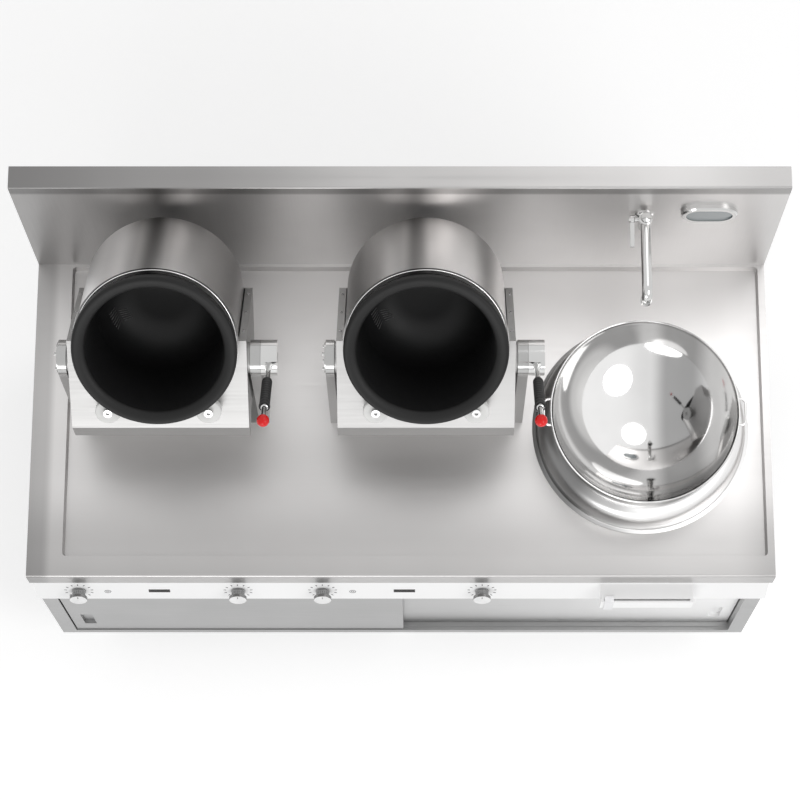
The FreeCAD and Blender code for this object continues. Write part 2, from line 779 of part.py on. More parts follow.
def pot():
    """Turning drum: rolled rim with a skirt, deep bowl and notched mixing ribs."""
    top = rim_ahead
    outer = mouth_radius + pot_wall
    curve_z = top - pot_straight
    inside = bend_points(mouth_radius, curve_z, pot_bottom)[::-1]
    outside = bend_points(outer, curve_z, pot_bottom - pot_wall)
    shell = turned((0, pot_bottom), *inside, (mouth_radius, top - 16),
                   *flat_arc((mouth_radius, top - 16), (mouth_radius + 8, top - 5), (rim_radius - lip_crest, top), 3),
                   (rim_radius - 2, top - 3), (rim_radius, top - 8), (rim_radius, top - rim_flange),
                   (track_radius, top - rim_flange), (track_radius, top - rim_skirt),
                   (track_radius - skirt_wall, top - rim_skirt), (track_radius - skirt_wall, top - rim_flange - 4),
                   (outer, top - rim_flange - 10), *outside, (0, pot_bottom - pot_wall), centre=drum_axis)
    ribs = []
    for index in range(rib_count):
        rib = side_profile(-rib_width / 2, rib_width / 2, (mouth_radius + 1, curve_z + 10),
                           (mouth_radius - rib_height, curve_z + 26),
                           (mouth_radius - rib_height, curve_z + rib_length - 10),
                           (mouth_radius + 1, curve_z + rib_length + 8))
        step = (rib_length - 46) / rib_notches
        notches = []
        for notch in range(rib_notches):
            z = curve_z + 32 + notch * step
            notches.append(box(-rib_width, rib_width, mouth_radius - rib_height - 1, mouth_radius - rib_height + 5,
                               z, z + step / 2))
        rib = cut(rib, notches)
        rib.rotate(V(0, 0, 0), z_axis, rib_turn - 90 + index * 360 / rib_count)
        rib.translate(drum_axis)
        ribs.append(rib)
    return fuse([shell] + ribs)


def pot_shaft():
    top = pot_bottom - pot_wall
    start = V(0, drum_offset, top)
    flange = rod(hub_flange_radius, start, z_axis * -1, hub_flange_thick)
    shaft = rod(shaft_radius, start, z_axis * -1, top - casing_back + 60)
    return fuse([flange, shaft])


def casing():
    """Steel drum housing: bezel ring, plain cylinder and a closed back with a rounded edge."""
    outer = casing_radius
    inner = casing_radius - casing_wall
    bend = casing_back_round * (1 - math.sqrt(0.5))
    front = casing_front
    back = casing_back
    return turned((outer + bezel_thick, front), (outer + bezel_thick, front - bezel_thick),
                  (outer, front - bezel_thick),
                  (outer, back + casing_back_round), (outer - bend, back + bend), (outer - casing_back_round, back),
                  (shaft_hole, back), (shaft_hole, back + casing_wall), (outer - casing_back_round, back + casing_wall),
                  (inner, back + casing_back_round), (inner, front - bezel_thick),
                  (outer + bezel_thick - bezel_wide, front - bezel_thick),
                  (outer + bezel_thick - bezel_wide, front), centre=drum_axis)


def coil():
    """Induction winding round the pot, between two rings that reach the casing."""
    inner = coil_radius
    outer = coil_radius + coil_thick
    reach = casing_radius - casing_wall - 0.3
    high = casing_front - coil_inset
    low = high - coil_length
    return turned((inner, high), (reach, high), (reach, high - coil_flange), (outer, high - coil_flange),
                  (outer, low + coil_flange), (reach, low + coil_flange), (reach, low), (inner, low), centre=drum_axis)


def gearmotor():
    """Hollow-shaft gear unit on the back plate, with the motor behind it."""
    start = casing_back - frame_sheet
    unit = turned((0, start), (gearbox_radius, start), (gearbox_radius, start - gearbox_length),
                  (motor_radius, start - gearbox_length),
                  (motor_radius, start - gearbox_length - motor_length + 8),
                  (motor_radius - 8, start - gearbox_length - motor_length), (0, start - gearbox_length - motor_length),
                  centre=drum_axis)
    bore = rod(shaft_radius + running_fit, V(0, drum_offset, start + 1), z_axis * -1, 64)
    return unit.cut(bore)


def roller_centre(side):
    distance = track_radius + roller_gap + roller_radius
    lean = math.radians(roller_angle)
    return V(side * distance * math.sin(lean), drum_offset - distance * math.cos(lean), 0)


roller_back = frame_ahead + roller_stand


def tilt_frame():
    """Welded box round the lower half of the casing, with an apron, its trunnions and the roller bosses."""
    x = frame_half
    t = frame_sheet
    back = casing_back - t
    hole = rod(casing_radius + 0.2, V(0, drum_offset, casing_back), z_axis, casing_length)
    toe = frame_toe
    k = t * math.sqrt(2)
    shell = side_profile(-x, x, (frame_high, frame_ahead), (-frame_low, frame_ahead),
                         (-frame_low - toe, frame_ahead - toe),
                         (-frame_low, frame_ahead - 2 * toe), (-frame_low, back), (frame_high, back))
    hollow = side_profile(-x + t, x - t, (frame_high + 1, frame_ahead - t), (k - t - frame_low, frame_ahead - t),
                          (k - frame_low - toe, frame_ahead - toe), (t - frame_low, frame_ahead - 2 * toe + k - t),
                          (t - frame_low, casing_back), (frame_high + 1, casing_back))
    plates = [shell.cut(hollow)]
    for side in (-1, 1):
        x0, x1 = sorted((side * x, side * (x - strip_width)))
        plates.append(box(x0, x1, frame_high - t, frame_high, back, frame_ahead))
        plates.append(rod(trunnion_flange, V(side * x, 0, 0), V(side, 0, 0), trunnion_flange_thick))
    plates.append(rod(gearbox_radius + 6, V(0, drum_offset, back), z_axis, t))
    left_end = bearing_x + left_bearing_width - 3
    right_end = hub_x + hub_length - 2
    plates.append(rod(shaft_radius, V(-x, 0, 0), V(-1, 0, 0), left_end - x))
    plates.append(rod(shaft_radius, V(x, 0, 0), V(1, 0, 0), right_end - x))
    for side in (-1, 1):
        centre = roller_centre(side)
        plates.append(ring(13, roller_bolt + 0.1, centre + V(0, 0, frame_ahead), z_axis,
                           roller_back - frame_ahead - 0.5))
    body = fuse(plates)
    bolt_holes = [rod(roller_bolt + 0.1, roller_centre(side) + V(0, 0, frame_ahead - t - 1), z_axis, t + 2)
                  for side in (-1, 1)]
    return cut(body, [hole, rod(shaft_hole, V(0, drum_offset, back - 1), z_axis, t + 2)] + bolt_holes)


def roller(side):
    """Support roller under the rim, with bevelled edges."""
    w = roller_width
    r = roller_radius
    return turned((roller_bolt + running_fit, 0), (r - 2, 0), (r, 2), (r, w - 2), (r - 2, w),
                  (roller_bolt + running_fit, w), centre=roller_centre(side) + V(0, 0, roller_back))


def roller_bolts():
    bolts = []
    for side in (-1, 1):
        centre = roller_centre(side)
        head = roller_back + roller_width + 0.5
        shank = rod(roller_bolt, centre + V(0, 0, frame_ahead - frame_sheet), z_axis, head - frame_ahead + frame_sheet)
        cap = rod(10, centre + V(0, 0, head), z_axis, 8)
        corners = [centre + V(5 * math.cos(math.radians(60 * k)), 5 * math.sin(math.radians(60 * k)), head + 3)
                   for k in range(7)]
        socket = Part.Face(Part.makePolygon(corners)).extrude(V(0, 0, 6))
        nut = ring(11, roller_bolt, centre + V(0, 0, frame_ahead - frame_sheet - 6), z_axis, 6)
        stub = rod(roller_bolt, centre + V(0, 0, frame_ahead - frame_sheet - 6), z_axis, 6)
        bolts.append(fuse([shank, cap.cut(socket), nut, stub]))
    return Part.makeCompound(bolts)


def bearings():
    """Two polished bearing housings.  The right one ends in a notched sleeve for the lever's lock."""
    bore = shaft_radius + running_fit
    right = ring(bearing_radius, bore, V(bearing_x, 0, 0), x_axis, bearing_width)
    sleeve = ring(index_radius, index_bore, V(bearing_x + bearing_width, 0, 0), x_axis,
                  hub_length + hub_gap - hub_end - 1)
    notches = []
    for stop in range(index_stops):
        slot = box(lever_x - 4, lever_x + 4, -notch_width / 2, notch_width / 2,
                   index_radius - notch_depth, index_radius + 2)
        slot.rotate(V(0, 0, 0), x_axis, stop * index_step)
        notches.append(slot)
    left_face = -bearing_x - left_bearing_width
    left = rod(bearing_radius, V(left_face, 0, 0), x_axis, left_bearing_width)
    left = left.cut(rod(bore, V(left_face + 2, 0, 0), x_axis, left_bearing_width))
    cap = rod(bearing_radius - 6, V(left_face, 0, 0), V(-1, 0, 0), 3)
    heads = []
    for k in range(4):
        turn = math.radians(45 + 90 * k)
        heads.append(rod(4, V(left_face - 3, 27 * math.cos(turn), 27 * math.sin(turn)), V(-1, 0, 0), 5))
    return Part.makeCompound([fuse([right, cut(sleeve, notches)]), fuse([left, cap] + heads)])


def tilt_lever():
    """Hub on the right trunnion with the lever tube standing out of it, in line with the drum."""
    hub = ring(bearing_radius, shaft_radius + 0.02, V(hub_x, 0, 0), x_axis, hub_length)
    cavity = rod(hub_cavity, V(hub_x - 1, 0, 0), x_axis, hub_length - hub_end + 1)
    tube_start = V(lever_x, 0, bearing_radius - 8)
    tube_end = grip_start + grip_length + 2
    boss = rod(9, V(lever_x, 0, bearing_radius - 6), z_axis, 14)
    body = fuse([hub.cut(cavity), boss, rod(lever_radius, tube_start, z_axis, tube_end - tube_start.z)])
    channel = rod(pull_radius + pull_clearance, V(lever_x, 0, 20), z_axis, tube_end)
    return body.cut(channel)


def lever_grip():
    """Ribbed hand grip pushed on the lever tube."""
    start = grip_start
    end = grip_start + grip_length
    bore = lever_radius + 0.02
    grip = turned((bore, start), (grip_radius - 3, start), (grip_radius, start + 6), (grip_radius, end - 5),
                  (grip_radius - 2, end), (bore, end), centre=V(lever_x, 0, 0))
    grooves = []
    for index in range(grip_grooves):
        z = start + 18 + index * (grip_length - 40) / (grip_grooves - 1)
        grooves.append(ring(grip_radius + 3, grip_radius - 0.8, V(lever_x, 0, z), z_axis, 3))
    return cut(grip, grooves)


def pull_rod():
    """Sprung lock rod inside the lever, with the polished sleeve that carries the ball."""
    tip = index_radius + lock_gap
    sleeve_start = grip_start + grip_length + 3
    sleeve_end = ball_centre - ball_radius + 2
    r = pull_sleeve
    shaft = rod(pull_radius, V(lever_x, 0, tip), z_axis, sleeve_start - tip + 1)
    sleeve = turned((0, sleeve_start), (r + 2, sleeve_start), (r + 2, sleeve_start + 4), (r, sleeve_start + 5),
                    (r, sleeve_end - 14), (r - 1.5, sleeve_end), (0, sleeve_end), centre=V(lever_x, 0, 0))
    ball = Part.makeSphere(ball_radius + 0.02, V(lever_x, 0, ball_centre))
    return fuse([shaft, sleeve]).cut(ball)


def pull_ball():
    """Ball on the end of the lock rod, turned in narrow bands."""
    points = flat_arc((0, -ball_radius), (ball_radius, 0), (0, ball_radius), ball_bands)
    return turned((0, -ball_radius), *points, centre=V(lever_x, 0, ball_centre))


def pedestal(x):
    """Foot plate with a hollow bracket on each side, saddled under the bearing housings."""
    y0 = tilt_y - pedestal_ahead
    y1 = y0 + pedestal_length
    inner = bearing_x
    left = x - foot_left
    right = x + foot_right
    r = bearing_radius
    w = bracket_wall
    foot = well_floor + pedestal_plate
    parts = [box(left, right, y0, y1 + pedestal_tail, well_floor, foot)]
    for side in (-1, 1):
        x0, x1 = (left, x - inner) if side < 0 else (x + inner, right)
        plate = side_profile(x0, x1, (y0, well_floor), (tilt_y - r - 0.5, tilt_z - 13), (tilt_y - r + 3, tilt_z),
                             (tilt_y + r - 3, tilt_z), (tilt_y + r - 1, tilt_z - 13), (y1, well_floor))
        pocket_x0, pocket_x1 = (x0 - 1, x1 - w) if side > 0 else (x0 + w, x1 + 1)
        pocket = side_profile(pocket_x0, pocket_x1, (y0 + 2 * w, foot), (tilt_y - r + w, tilt_z - r - 14),
                              (tilt_y + r - 2 * w, tilt_z - r - 14), (y1 - 3 * w, foot))
        parts.append(plate.cut(pocket))
    saddle = rod(r, V(left - 1, tilt_y, tilt_z), x_axis, right - left + 2)
    return fuse(parts).cut(saddle)


# ---------------------------------------------------------------- wok station

wok_outer = wok_sphere + wok_wall
wok_bottom = well_floor + wok_seat
bowl_bottom = wok_bottom - wok_lift_gap
bowl_edge = bowl_bottom + bowl_sphere - math.sqrt(bowl_sphere ** 2 - bowl_radius ** 2)
wok_centre = V(wok_x, wok_y, 0)


def sphere_height(radius, reach):
    return radius - math.sqrt(radius ** 2 - reach ** 2)


def wok():
    """Polished round-bottomed wok with a rolled rim."""
    rim = wok_bottom + sphere_height(wok_outer, wok_radius)
    middle = wok_bottom + wok_outer
    outside = cap_points(wok_outer, wok_radius, middle, wok_bands)
    inside = cap_points(wok_outer, wok_radius, middle, wok_bands, -wok_wall)
    shell = turned(*outside, *inside[::-1], centre=wok_centre)
    side = wok_bead * math.tan(math.radians(22.5))
    b = wok_bead
    bead = turned(*[(wok_radius + x, rim + z) for x, z in ((b, -side), (b, side), (side, b), (-side, b), (-b, side),
                                                            (-b, -side), (-side, -b), (side, -b))], centre=wok_centre)
    return fuse([shell, bead])


def wok_ears():
    """Two wire loops under the rim."""
    rim = wok_bottom + sphere_height(wok_sphere + wok_wall, wok_radius)
    z = rim - ear_drop
    root = math.sqrt((wok_sphere + wok_wall) ** 2 - (wok_bottom + wok_sphere + wok_wall - z) ** 2)
    bend = 12.0
    reach = wok_radius + ear_reach
    half = ear_width / 2 - ear_wire
    ears = []
    fold = bend * (1 - math.sqrt(0.5))
    for side in (-1, 1):
        def at(x, y):
            return V(wok_x + side * x, wok_y + y, z)

        root_x = math.sqrt(root ** 2 - half ** 2) + ear_wire * 0.2
        edges = [Part.LineSegment(at(root_x, -half), at(reach - bend, -half)).toShape(),
                 Part.Arc(at(reach - bend, -half), at(reach - fold, -half + fold), at(reach, -half + bend)).toShape(),
                 Part.LineSegment(at(reach, -half + bend), at(reach, half - bend)).toShape(),
                 Part.Arc(at(reach, half - bend), at(reach - fold, half - fold), at(reach - bend, half)).toShape(),
                 Part.LineSegment(at(reach - bend, half), at(root_x, half)).toShape()]
        section = Part.Wire([Part.makeCircle(ear_wire, at(root_x, -half), V(side, 0, 0))])
        ears.append(Part.Wire(edges).makePipeShell([section], True, True))
    outside = cap_points(wok_outer, wok_radius, wok_bottom + wok_outer, wok_bands, 0.02)
    outer = turned(*outside, (0, outside[-1][1]), centre=wok_centre)
    return Part.makeCompound([ear.cut(outer) for ear in ears])


def ceramic_bowl():
    """Black glass-ceramic bowl with a flat flange that lies on the ring's ledge."""
    middle = bowl_bottom + bowl_sphere
    outer = bowl_sphere + bowl_wall
    under = bowl_edge - bowl_wall
    inside = cap_points(bowl_sphere, bowl_radius, middle, bowl_bands)
    outside = cap_points(outer, math.sqrt(outer ** 2 - (middle - under) ** 2), middle, bowl_bands)
    edge = bowl_radius + bowl_flange
    return turned(*inside, (edge, bowl_edge), (edge, under), *outside[::-1], centre=wok_centre)


def wok_ring():
    """Pressed and polished ring: thin foot flange, full round shoulder, and a ledge for the bowl."""
    t = ring_wall
    foot = well_floor
    crest = foot + ring_crest
    ledge = bowl_edge - bowl_wall
    r = ring_crest_radius
    f = ring_foot_radius
    ledge_outer = bowl_radius + bowl_flange + 4
    ledge_inner = bowl_radius + 3
    shoulder = flat_arc((f - 4, foot + 12), (f - 11, crest - 25), (r + 4, crest - 4), 4)
    return turned((ring_radius, foot), (ring_radius, foot + 3), (f, foot + 3), (f - 4, foot + 12),
                  *shoulder, (r, crest), (ledge_outer, ledge), (ledge_inner, ledge),
                  (ledge_inner, ledge - t), (ledge_outer - 0.5, ledge - t), (r - 0.5, crest - t),
                  (r + 2.5, crest - 4 - t), (f - 19 - t, crest - 14), (f - 10 - t, crest - 34), (f - 4 - t, foot + 11),
                  (f - 2 * t, foot), centre=wok_centre)


def wok_coil():
    """Winding pressed on a dished carrier under the bowl, on three legs that stand in the well."""
    sphere = bowl_sphere + bowl_wall + wok_coil_gap
    low = bowl_bottom - bowl_wall - wok_coil_gap
    outer = sphere + wok_coil_thick
    r0 = wok_coil_inner
    r1 = wok_coil_outer
    low_out = low - wok_coil_thick
    dish = turned((r0, low + sphere_height(sphere, r0)), (r1, low + sphere_height(sphere, r1)),
                  (r1, low_out + sphere_height(outer, r1)), (r0, low_out + sphere_height(outer, r0)),
                  centre=wok_centre)
    arm_z = low_out + sphere_height(outer, r1) - 3
    arms = []
    for k in range(3):
        arm = box(r1 - 12, dish_hole + 22, -12, 12, arm_z, arm_z + 4)
        leg = box(dish_hole + 18, dish_hole + 22, -12, 12, well_floor, arm_z + 4)
        foot = box(dish_hole + 3, dish_hole + 22, -12, 12, well_floor, well_floor + 3)
        tab = fuse([arm, leg, foot])
        tab.rotate(V(0, 0, 0), z_axis, 90 + 120 * k)
        tab.translate(wok_centre)
        arms.append(tab)
    return fuse([dish] + arms)


# ---------------------------------------------------------------- power display, faucet, inside pieces

lamp_centre = V(lamp_x, splash_y, counter_height + lamp_rise)


def lamp_bezel():
    block = stadium(lamp_width, lamp_height, lamp_proud, lamp_centre)
    edges = [e for e in block.Edges if abs(e.BoundBox.YMin - (splash_y - lamp_proud)) < 0.01
             and abs(e.BoundBox.YMax - (splash_y - lamp_proud)) < 0.01]
    block = block.makeChamfer(3.5, edges)
    inner = stadium(lamp_width - 2 * lamp_wall, lamp_height - 2 * lamp_wall, lamp_proud, lamp_centre + V(0, -5, 0))
    cable = rod(8, lamp_centre + V(0, 1, 0), y_axis * -1, 8)
    return cut(block, [inner, cable])


def lamp_lens():
    start = lamp_centre + V(0, -(lamp_proud - lamp_recess - lens_thick), 0)
    fit = 0.1
    return stadium(lamp_width - 2 * lamp_wall - fit, lamp_height - 2 * lamp_wall - fit, lens_thick, start)


swivel = V(faucet_x, splash_y - faucet_stand_off, counter_height + faucet_rise)
valve_z = swivel.z - faucet_neck_drop
cup_top = valve_z + faucet_cup_height / 2
knuckle_top = swivel.z + faucet_cup_radius


def faucet_body():
    """Wall flange, cup with the swivel's spigot and cap, valve with its pin, and the threaded tail."""
    wall = V(faucet_x, splash_y, valve_z)
    valve = V(swivel.x, swivel.y + valve_back, valve_z)
    flange = turned((0, 0), (faucet_flange_radius, 0), (faucet_flange_radius, 3), (12, 8), (0, 8))
    flange.rotate(V(0, 0, 0), x_axis, 90)
    flange.translate(wall)
    neck = rod(10, wall, y_axis * -1, faucet_stand_off)
    cup = turned((0, cup_top - faucet_cup_height), (faucet_cup_radius - 4, cup_top - faucet_cup_height),
                 (faucet_cup_radius, cup_top - faucet_cup_height + 3), (faucet_cup_radius, cup_top), (0, cup_top),
                 centre=V(swivel.x, swivel.y, 0))
    spigot = rod(spigot_radius, V(swivel.x, swivel.y, cup_top - 1), z_axis, knuckle_top - cup_top + 2)
    cap = turned((0, knuckle_top + slide_fit), (spigot_radius + 5, knuckle_top + slide_fit),
                 (spigot_radius + 4, knuckle_top + 3),
                 (0, knuckle_top + 4), centre=V(swivel.x, swivel.y, 0))
    socket = rod(6.5, valve, x_axis * -1, lever_side - 7)
    pin = rod(4, valve, x_axis * -1, lever_side + 8)
    tail = rod(inlet_radius, wall, y_axis, inlet_length)
    return fuse([flange, neck, cup, spigot, cap, socket, pin, tail])


def spout_form(radius, start, end):
    """Solid of the bent tube, from start behind the bend to end below it."""
    bend = 22.0
    tip = swivel.y - spout_reach
    fold = bend * (1 - math.sqrt(0.5))

    def at(y, z):
        return V(swivel.x, y, z)

    path = Part.Wire([Part.LineSegment(at(start, swivel.z), at(tip + bend, swivel.z)).toShape(),
                      Part.Arc(at(tip + bend, swivel.z), at(tip + fold, swivel.z - fold),
                               at(tip, swivel.z - bend)).toShape(),
                      Part.LineSegment(at(tip, swivel.z - bend), at(tip, end)).toShape()])
    section = Part.Wire([Part.makeCircle(radius, at(start, swivel.z), y_axis)])
    return path.makePipeShell([section], True, True)


def faucet_spout():
    """Bent tube on a knuckle that turns on the body's spigot, with a turned-down nozzle."""
    r = faucet_cup_radius
    low = cup_top + slide_fit
    mouth = swivel.z - spout_drop
    tube = spout_form(spout_radius, swivel.y - spigot_radius - 2, mouth + 2)
    bore = spout_form(spout_radius - spout_wall, swivel.y - r + 1, mouth - 1)
    knuckle = turned((0, low), (r, low), (r, knuckle_top - 2.5), (r - 3, knuckle_top), (0, knuckle_top),
                     centre=V(swivel.x, swivel.y, 0))
    socket = rod(spigot_radius + running_fit, V(swivel.x, swivel.y, low - 1), z_axis, knuckle_top - low + 2)
    nozzle = rod(spout_radius + 1.2, V(swivel.x, swivel.y - spout_reach, mouth), z_axis, 12)
    return cut(fuse([tube, knuckle, nozzle]), [bore, socket])


def faucet_lever():
    """Blade lever on a hub that turns on the valve's pin."""
    y = swivel.y + valve_back
    half = 6.0
    x0 = swivel.x - lever_side - half
    hub = turned((4 + running_fit, 0), (8, 0), (9.5, 2), (9.5, 2 * half - 2), (8, 2 * half),
                 (4 + running_fit, 2 * half))
    hub.rotate(V(0, 0, 0), y_axis, 90)
    hub.translate(V(x0, y, valve_z))
    tip = y - lever_length
    blade = side_profile(x0 + 1, x0 + 2 * half - 1, (y - 7, valve_z + 3), (y - 6, valve_z - 5), (tip + 4, valve_z - 11),
                         (tip, valve_z - 10), (tip, valve_z - 7), (tip + 4, valve_z - 5))
    return fuse([hub, blade])


def inverters():
    """Closed power modules on feet, with cooling fins along the top."""
    modules = []
    y0 = back_y - back_post - 60 - inverter_depth
    for x in inverter_x:
        low = floor_level + panel_sheet
        base = low + inverter_foot
        parts = [box(x - inverter_width / 2, x + inverter_width / 2, y0, y0 + inverter_depth,
                     base, base + inverter_height)]
        for dx in (-1, 1):
            for y in (y0 + 30, y0 + inverter_depth - 30):
                middle = x + dx * (inverter_width / 2 - 30)
                parts.append(box(middle - 12, middle + 12, y - 12, y + 12, low, low + inverter_foot))
        for k in range(7):
            fin = x - 90 + k * 30
            parts.append(box(fin - 2, fin + 2, y0 + 40, y0 + inverter_depth - 40, base + inverter_height,
                             base + inverter_height + 22))
        modules.append(fuse(parts))
    return Part.makeCompound(modules)


def supply_gland():
    """Cable gland screwed into the back panel from the inside."""
    neck = ring(gland_radius - 4.5, gland_bore, V(gland_x, back_y, gland_height), y_axis * -1, 12)
    end = gland_length - panel_sheet
    body = turned((gland_bore, 0), (gland_radius, 0), (gland_radius, 8), (gland_radius - 3, 8),
                  (gland_radius - 3, end), (gland_bore, end))
    body.rotate(V(0, 0, 0), x_axis, 90)
    body.translate(V(gland_x, back_y - panel_sheet, gland_height))
    return fuse([neck, body])


def main():
    os.makedirs("parts", exist_ok=True)
    save("counter_top", counter_top())
    save("backsplash", backsplash())
    save("cabinet_frame", Part.makeCompound(cabinet_frame() + leg_plates()))
    save("cabinet_sides", cabinet_sides())
    save("cabinet_back", cabinet_back())
    save("cabinet_floor", cabinet_floor())
    save("levelling_feet", levelling_feet())
    save("left_door", door(0))
    save("right_door", door(1))
    save("control_fascia", control_fascia())
    save("rotary_switches", rotary_switches())
    for name, x in zip(("drum_1_heat_knob", "drum_1_speed_knob", "drum_2_heat_knob", "drum_2_speed_knob"), knob_x):
        save(name, knob(x))
    save("display_windows", display_windows())
    save("power_slide", power_slide())
    save("slide_tab", slide_tab())
    pieces = {"pot": pot(), "pot_shaft": pot_shaft(), "casing": casing(), "coil": coil(), "gearmotor": gearmotor(),
              "tilt_frame": tilt_frame(), "roller_left": roller(-1), "roller_right": roller(1),
              "roller_bolts": roller_bolts(), "bearings": bearings(), "tilt_lever": tilt_lever(),
              "lever_grip": lever_grip(), "pull_rod": pull_rod(), "pull_ball": pull_ball()}
    for number, x in enumerate(drum_x, 1):
        for name, shape in pieces.items():
            save("drum_%d_%s" % (number, name), seat(shape, x))
        save("drum_%d_pedestal" % number, pedestal(x))
    save("wok_ring", wok_ring())
    save("ceramic_bowl", ceramic_bowl())
    save("wok_coil", wok_coil())
    save("wok", wok())
    save("wok_ears", wok_ears())
    save("lamp_bezel", lamp_bezel())
    save("lamp_lens", lamp_lens())
    save("faucet_body", faucet_body())
    save("faucet_spout", faucet_spout())
    save("faucet_lever", faucet_lever())
    save("inverters", inverters())
    save("supply_gland", supply_gland())


main()
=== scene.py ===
import math

import bpy
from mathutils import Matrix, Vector


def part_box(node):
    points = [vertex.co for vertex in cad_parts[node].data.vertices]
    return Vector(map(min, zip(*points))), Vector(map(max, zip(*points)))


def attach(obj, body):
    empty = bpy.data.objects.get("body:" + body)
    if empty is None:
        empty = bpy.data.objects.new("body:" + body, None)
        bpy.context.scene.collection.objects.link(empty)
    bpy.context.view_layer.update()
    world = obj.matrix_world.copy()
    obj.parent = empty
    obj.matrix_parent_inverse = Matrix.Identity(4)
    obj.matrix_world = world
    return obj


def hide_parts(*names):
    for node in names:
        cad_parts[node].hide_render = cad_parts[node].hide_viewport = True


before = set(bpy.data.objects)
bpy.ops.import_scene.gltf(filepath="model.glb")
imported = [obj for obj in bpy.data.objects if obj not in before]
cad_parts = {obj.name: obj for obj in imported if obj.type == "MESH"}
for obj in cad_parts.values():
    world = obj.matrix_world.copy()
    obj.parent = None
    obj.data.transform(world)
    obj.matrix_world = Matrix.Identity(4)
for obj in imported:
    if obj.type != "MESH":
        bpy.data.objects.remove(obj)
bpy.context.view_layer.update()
print("frame loaded:", len(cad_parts), "nodes")

drumNames = ["drum_1", "drum_2"]
knobNames = ["drum_1_heat_knob", "drum_1_speed_knob", "drum_2_heat_knob", "drum_2_speed_knob"]
drumPlace = {"drum_1": -0.558, "drum_2": 0.060}
knobPlace = {"drum_1_heat_knob": -0.785, "drum_1_speed_knob": -0.397,
             "drum_2_heat_knob": -0.191, "drum_2_speed_knob": 0.197}
tiltAxis = {"y": 0.0415, "z": 1.158, "drumOffset": 0.072, "lean": 45}  # lean in degrees
wokPlace = (0.584, -0.0245)


def deselectAll():
    if bpy.context.mode != "OBJECT":
        bpy.ops.object.mode_set(mode="OBJECT")
    bpy.ops.object.select_all(action="DESELECT")


def activate(obj):
    deselectAll()
    obj.select_set(True)
    bpy.context.view_layer.objects.active = obj


def applyPlace(obj):
    activate(obj)
    bpy.ops.object.transform_apply(location=True, rotation=True, scale=True)


def smooth(obj, degrees):
    activate(obj)
    bpy.ops.object.shade_smooth_by_angle(angle=math.radians(degrees))


seedSize = 0.001  # plane that is merged to the outline's first point
mergeReach = 0.00002


# turns a side outline, given as (radius, height), about the upright axis
def turnOutline(name, outline, steps):
    deselectAll()
    bpy.ops.mesh.primitive_plane_add(size=seedSize, location=(outline[0][0], 0, outline[0][1]))
    obj = bpy.context.object
    obj.name = name
    applyPlace(obj)
    bpy.ops.object.mode_set(mode="EDIT")
    bpy.ops.mesh.select_mode(type="VERT")
    bpy.ops.mesh.select_all(action="SELECT")
    bpy.ops.mesh.merge(type="CENTER")
    for (r0, z0), (r1, z1) in zip(outline, outline[1:]):
        bpy.ops.mesh.extrude_region_move(TRANSFORM_OT_translate={"value": (r1 - r0, 0, z1 - z0)})
    bpy.ops.mesh.select_all(action="SELECT")
    bpy.ops.mesh.spin(steps=steps, angle=2 * math.pi, center=(0, 0, 0), axis=(0, 0, 1))
    bpy.ops.mesh.select_all(action="SELECT")
    bpy.ops.mesh.remove_doubles(threshold=mergeReach)
    bpy.ops.mesh.normals_make_consistent(inside=False)
    bpy.ops.object.mode_set(mode="OBJECT")
    return obj


# points along part of an ellipse, from one angle to another in degrees
def bend(centre, radii, start, end, steps):
    turns = [math.radians(start + (end - start) * step / steps) for step in range(steps + 1)]
    return [(centre[0] + radii[0] * math.cos(turn), centre[1] + radii[1] * math.sin(turn)) for turn in turns]


# selects the faces that a test on their middle and normal picks
def pickFaces(obj, test):
    activate(obj)
    bpy.ops.object.mode_set(mode="EDIT")
    bpy.ops.mesh.select_mode(type="FACE")
    bpy.ops.mesh.select_all(action="DESELECT")
    bpy.ops.object.mode_set(mode="OBJECT")
    for face in obj.data.polygons:
        face.select = test(face.center, face.normal)
    bpy.ops.object.mode_set(mode="EDIT")


def setFinish(obj, material, body):
    if not obj.data.materials:
        obj.data.materials.append(material)
    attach(obj, body)
    return obj


# moves a piece drawn about the drum's own upright axes to its tipped place
def standOnDrum(obj, drum):
    activate(obj)
    obj.rotation_euler = (math.radians(tiltAxis["lean"]), 0, 0)
    obj.location = (drumPlace[drum], tiltAxis["y"], tiltAxis["z"])
    applyPlace(obj)
    return obj


def shift(obj, place, turn=(0, 0, 0)):
    activate(obj)
    obj.rotation_euler = turn
    obj.location = place
    applyPlace(obj)
    return obj


def joinPieces(name, pieces):
    deselectAll()
    for piece in pieces:
        piece.select_set(True)
    bpy.context.view_layer.objects.active = pieces[0]
    if len(pieces) > 1:
        bpy.ops.object.join()
    joined = bpy.context.view_layer.objects.active
    joined.name = name
    return joined


# a copy with its own mesh, for what is modelled once and repeated
def copyOf(obj):
    twin = obj.copy()
    twin.data = obj.data.copy()
    bpy.context.collection.objects.link(twin)
    return twin


def removePattern(obj):
    activate(obj)
    bpy.ops.object.delete()


# small block with its edges rounded
def roundedBlock(name, place, size, edge, segments):
    deselectAll()
    bpy.ops.mesh.primitive_cube_add(size=1, location=place, scale=size)
    block = bpy.context.object
    block.name = name
    applyPlace(block)
    bpy.ops.object.mode_set(mode="EDIT")
    bpy.ops.mesh.select_all(action="SELECT")
    bpy.ops.mesh.bevel(offset=edge, segments=segments, affect="EDGES")
    bpy.ops.object.mode_set(mode="OBJECT")
    return block


def newMaterial(name):
    material = bpy.data.materials.new(name)
    material.use_nodes = True
    nodes = material.node_tree.nodes
    return material, nodes, material.node_tree.links, nodes["Principled BSDF"]


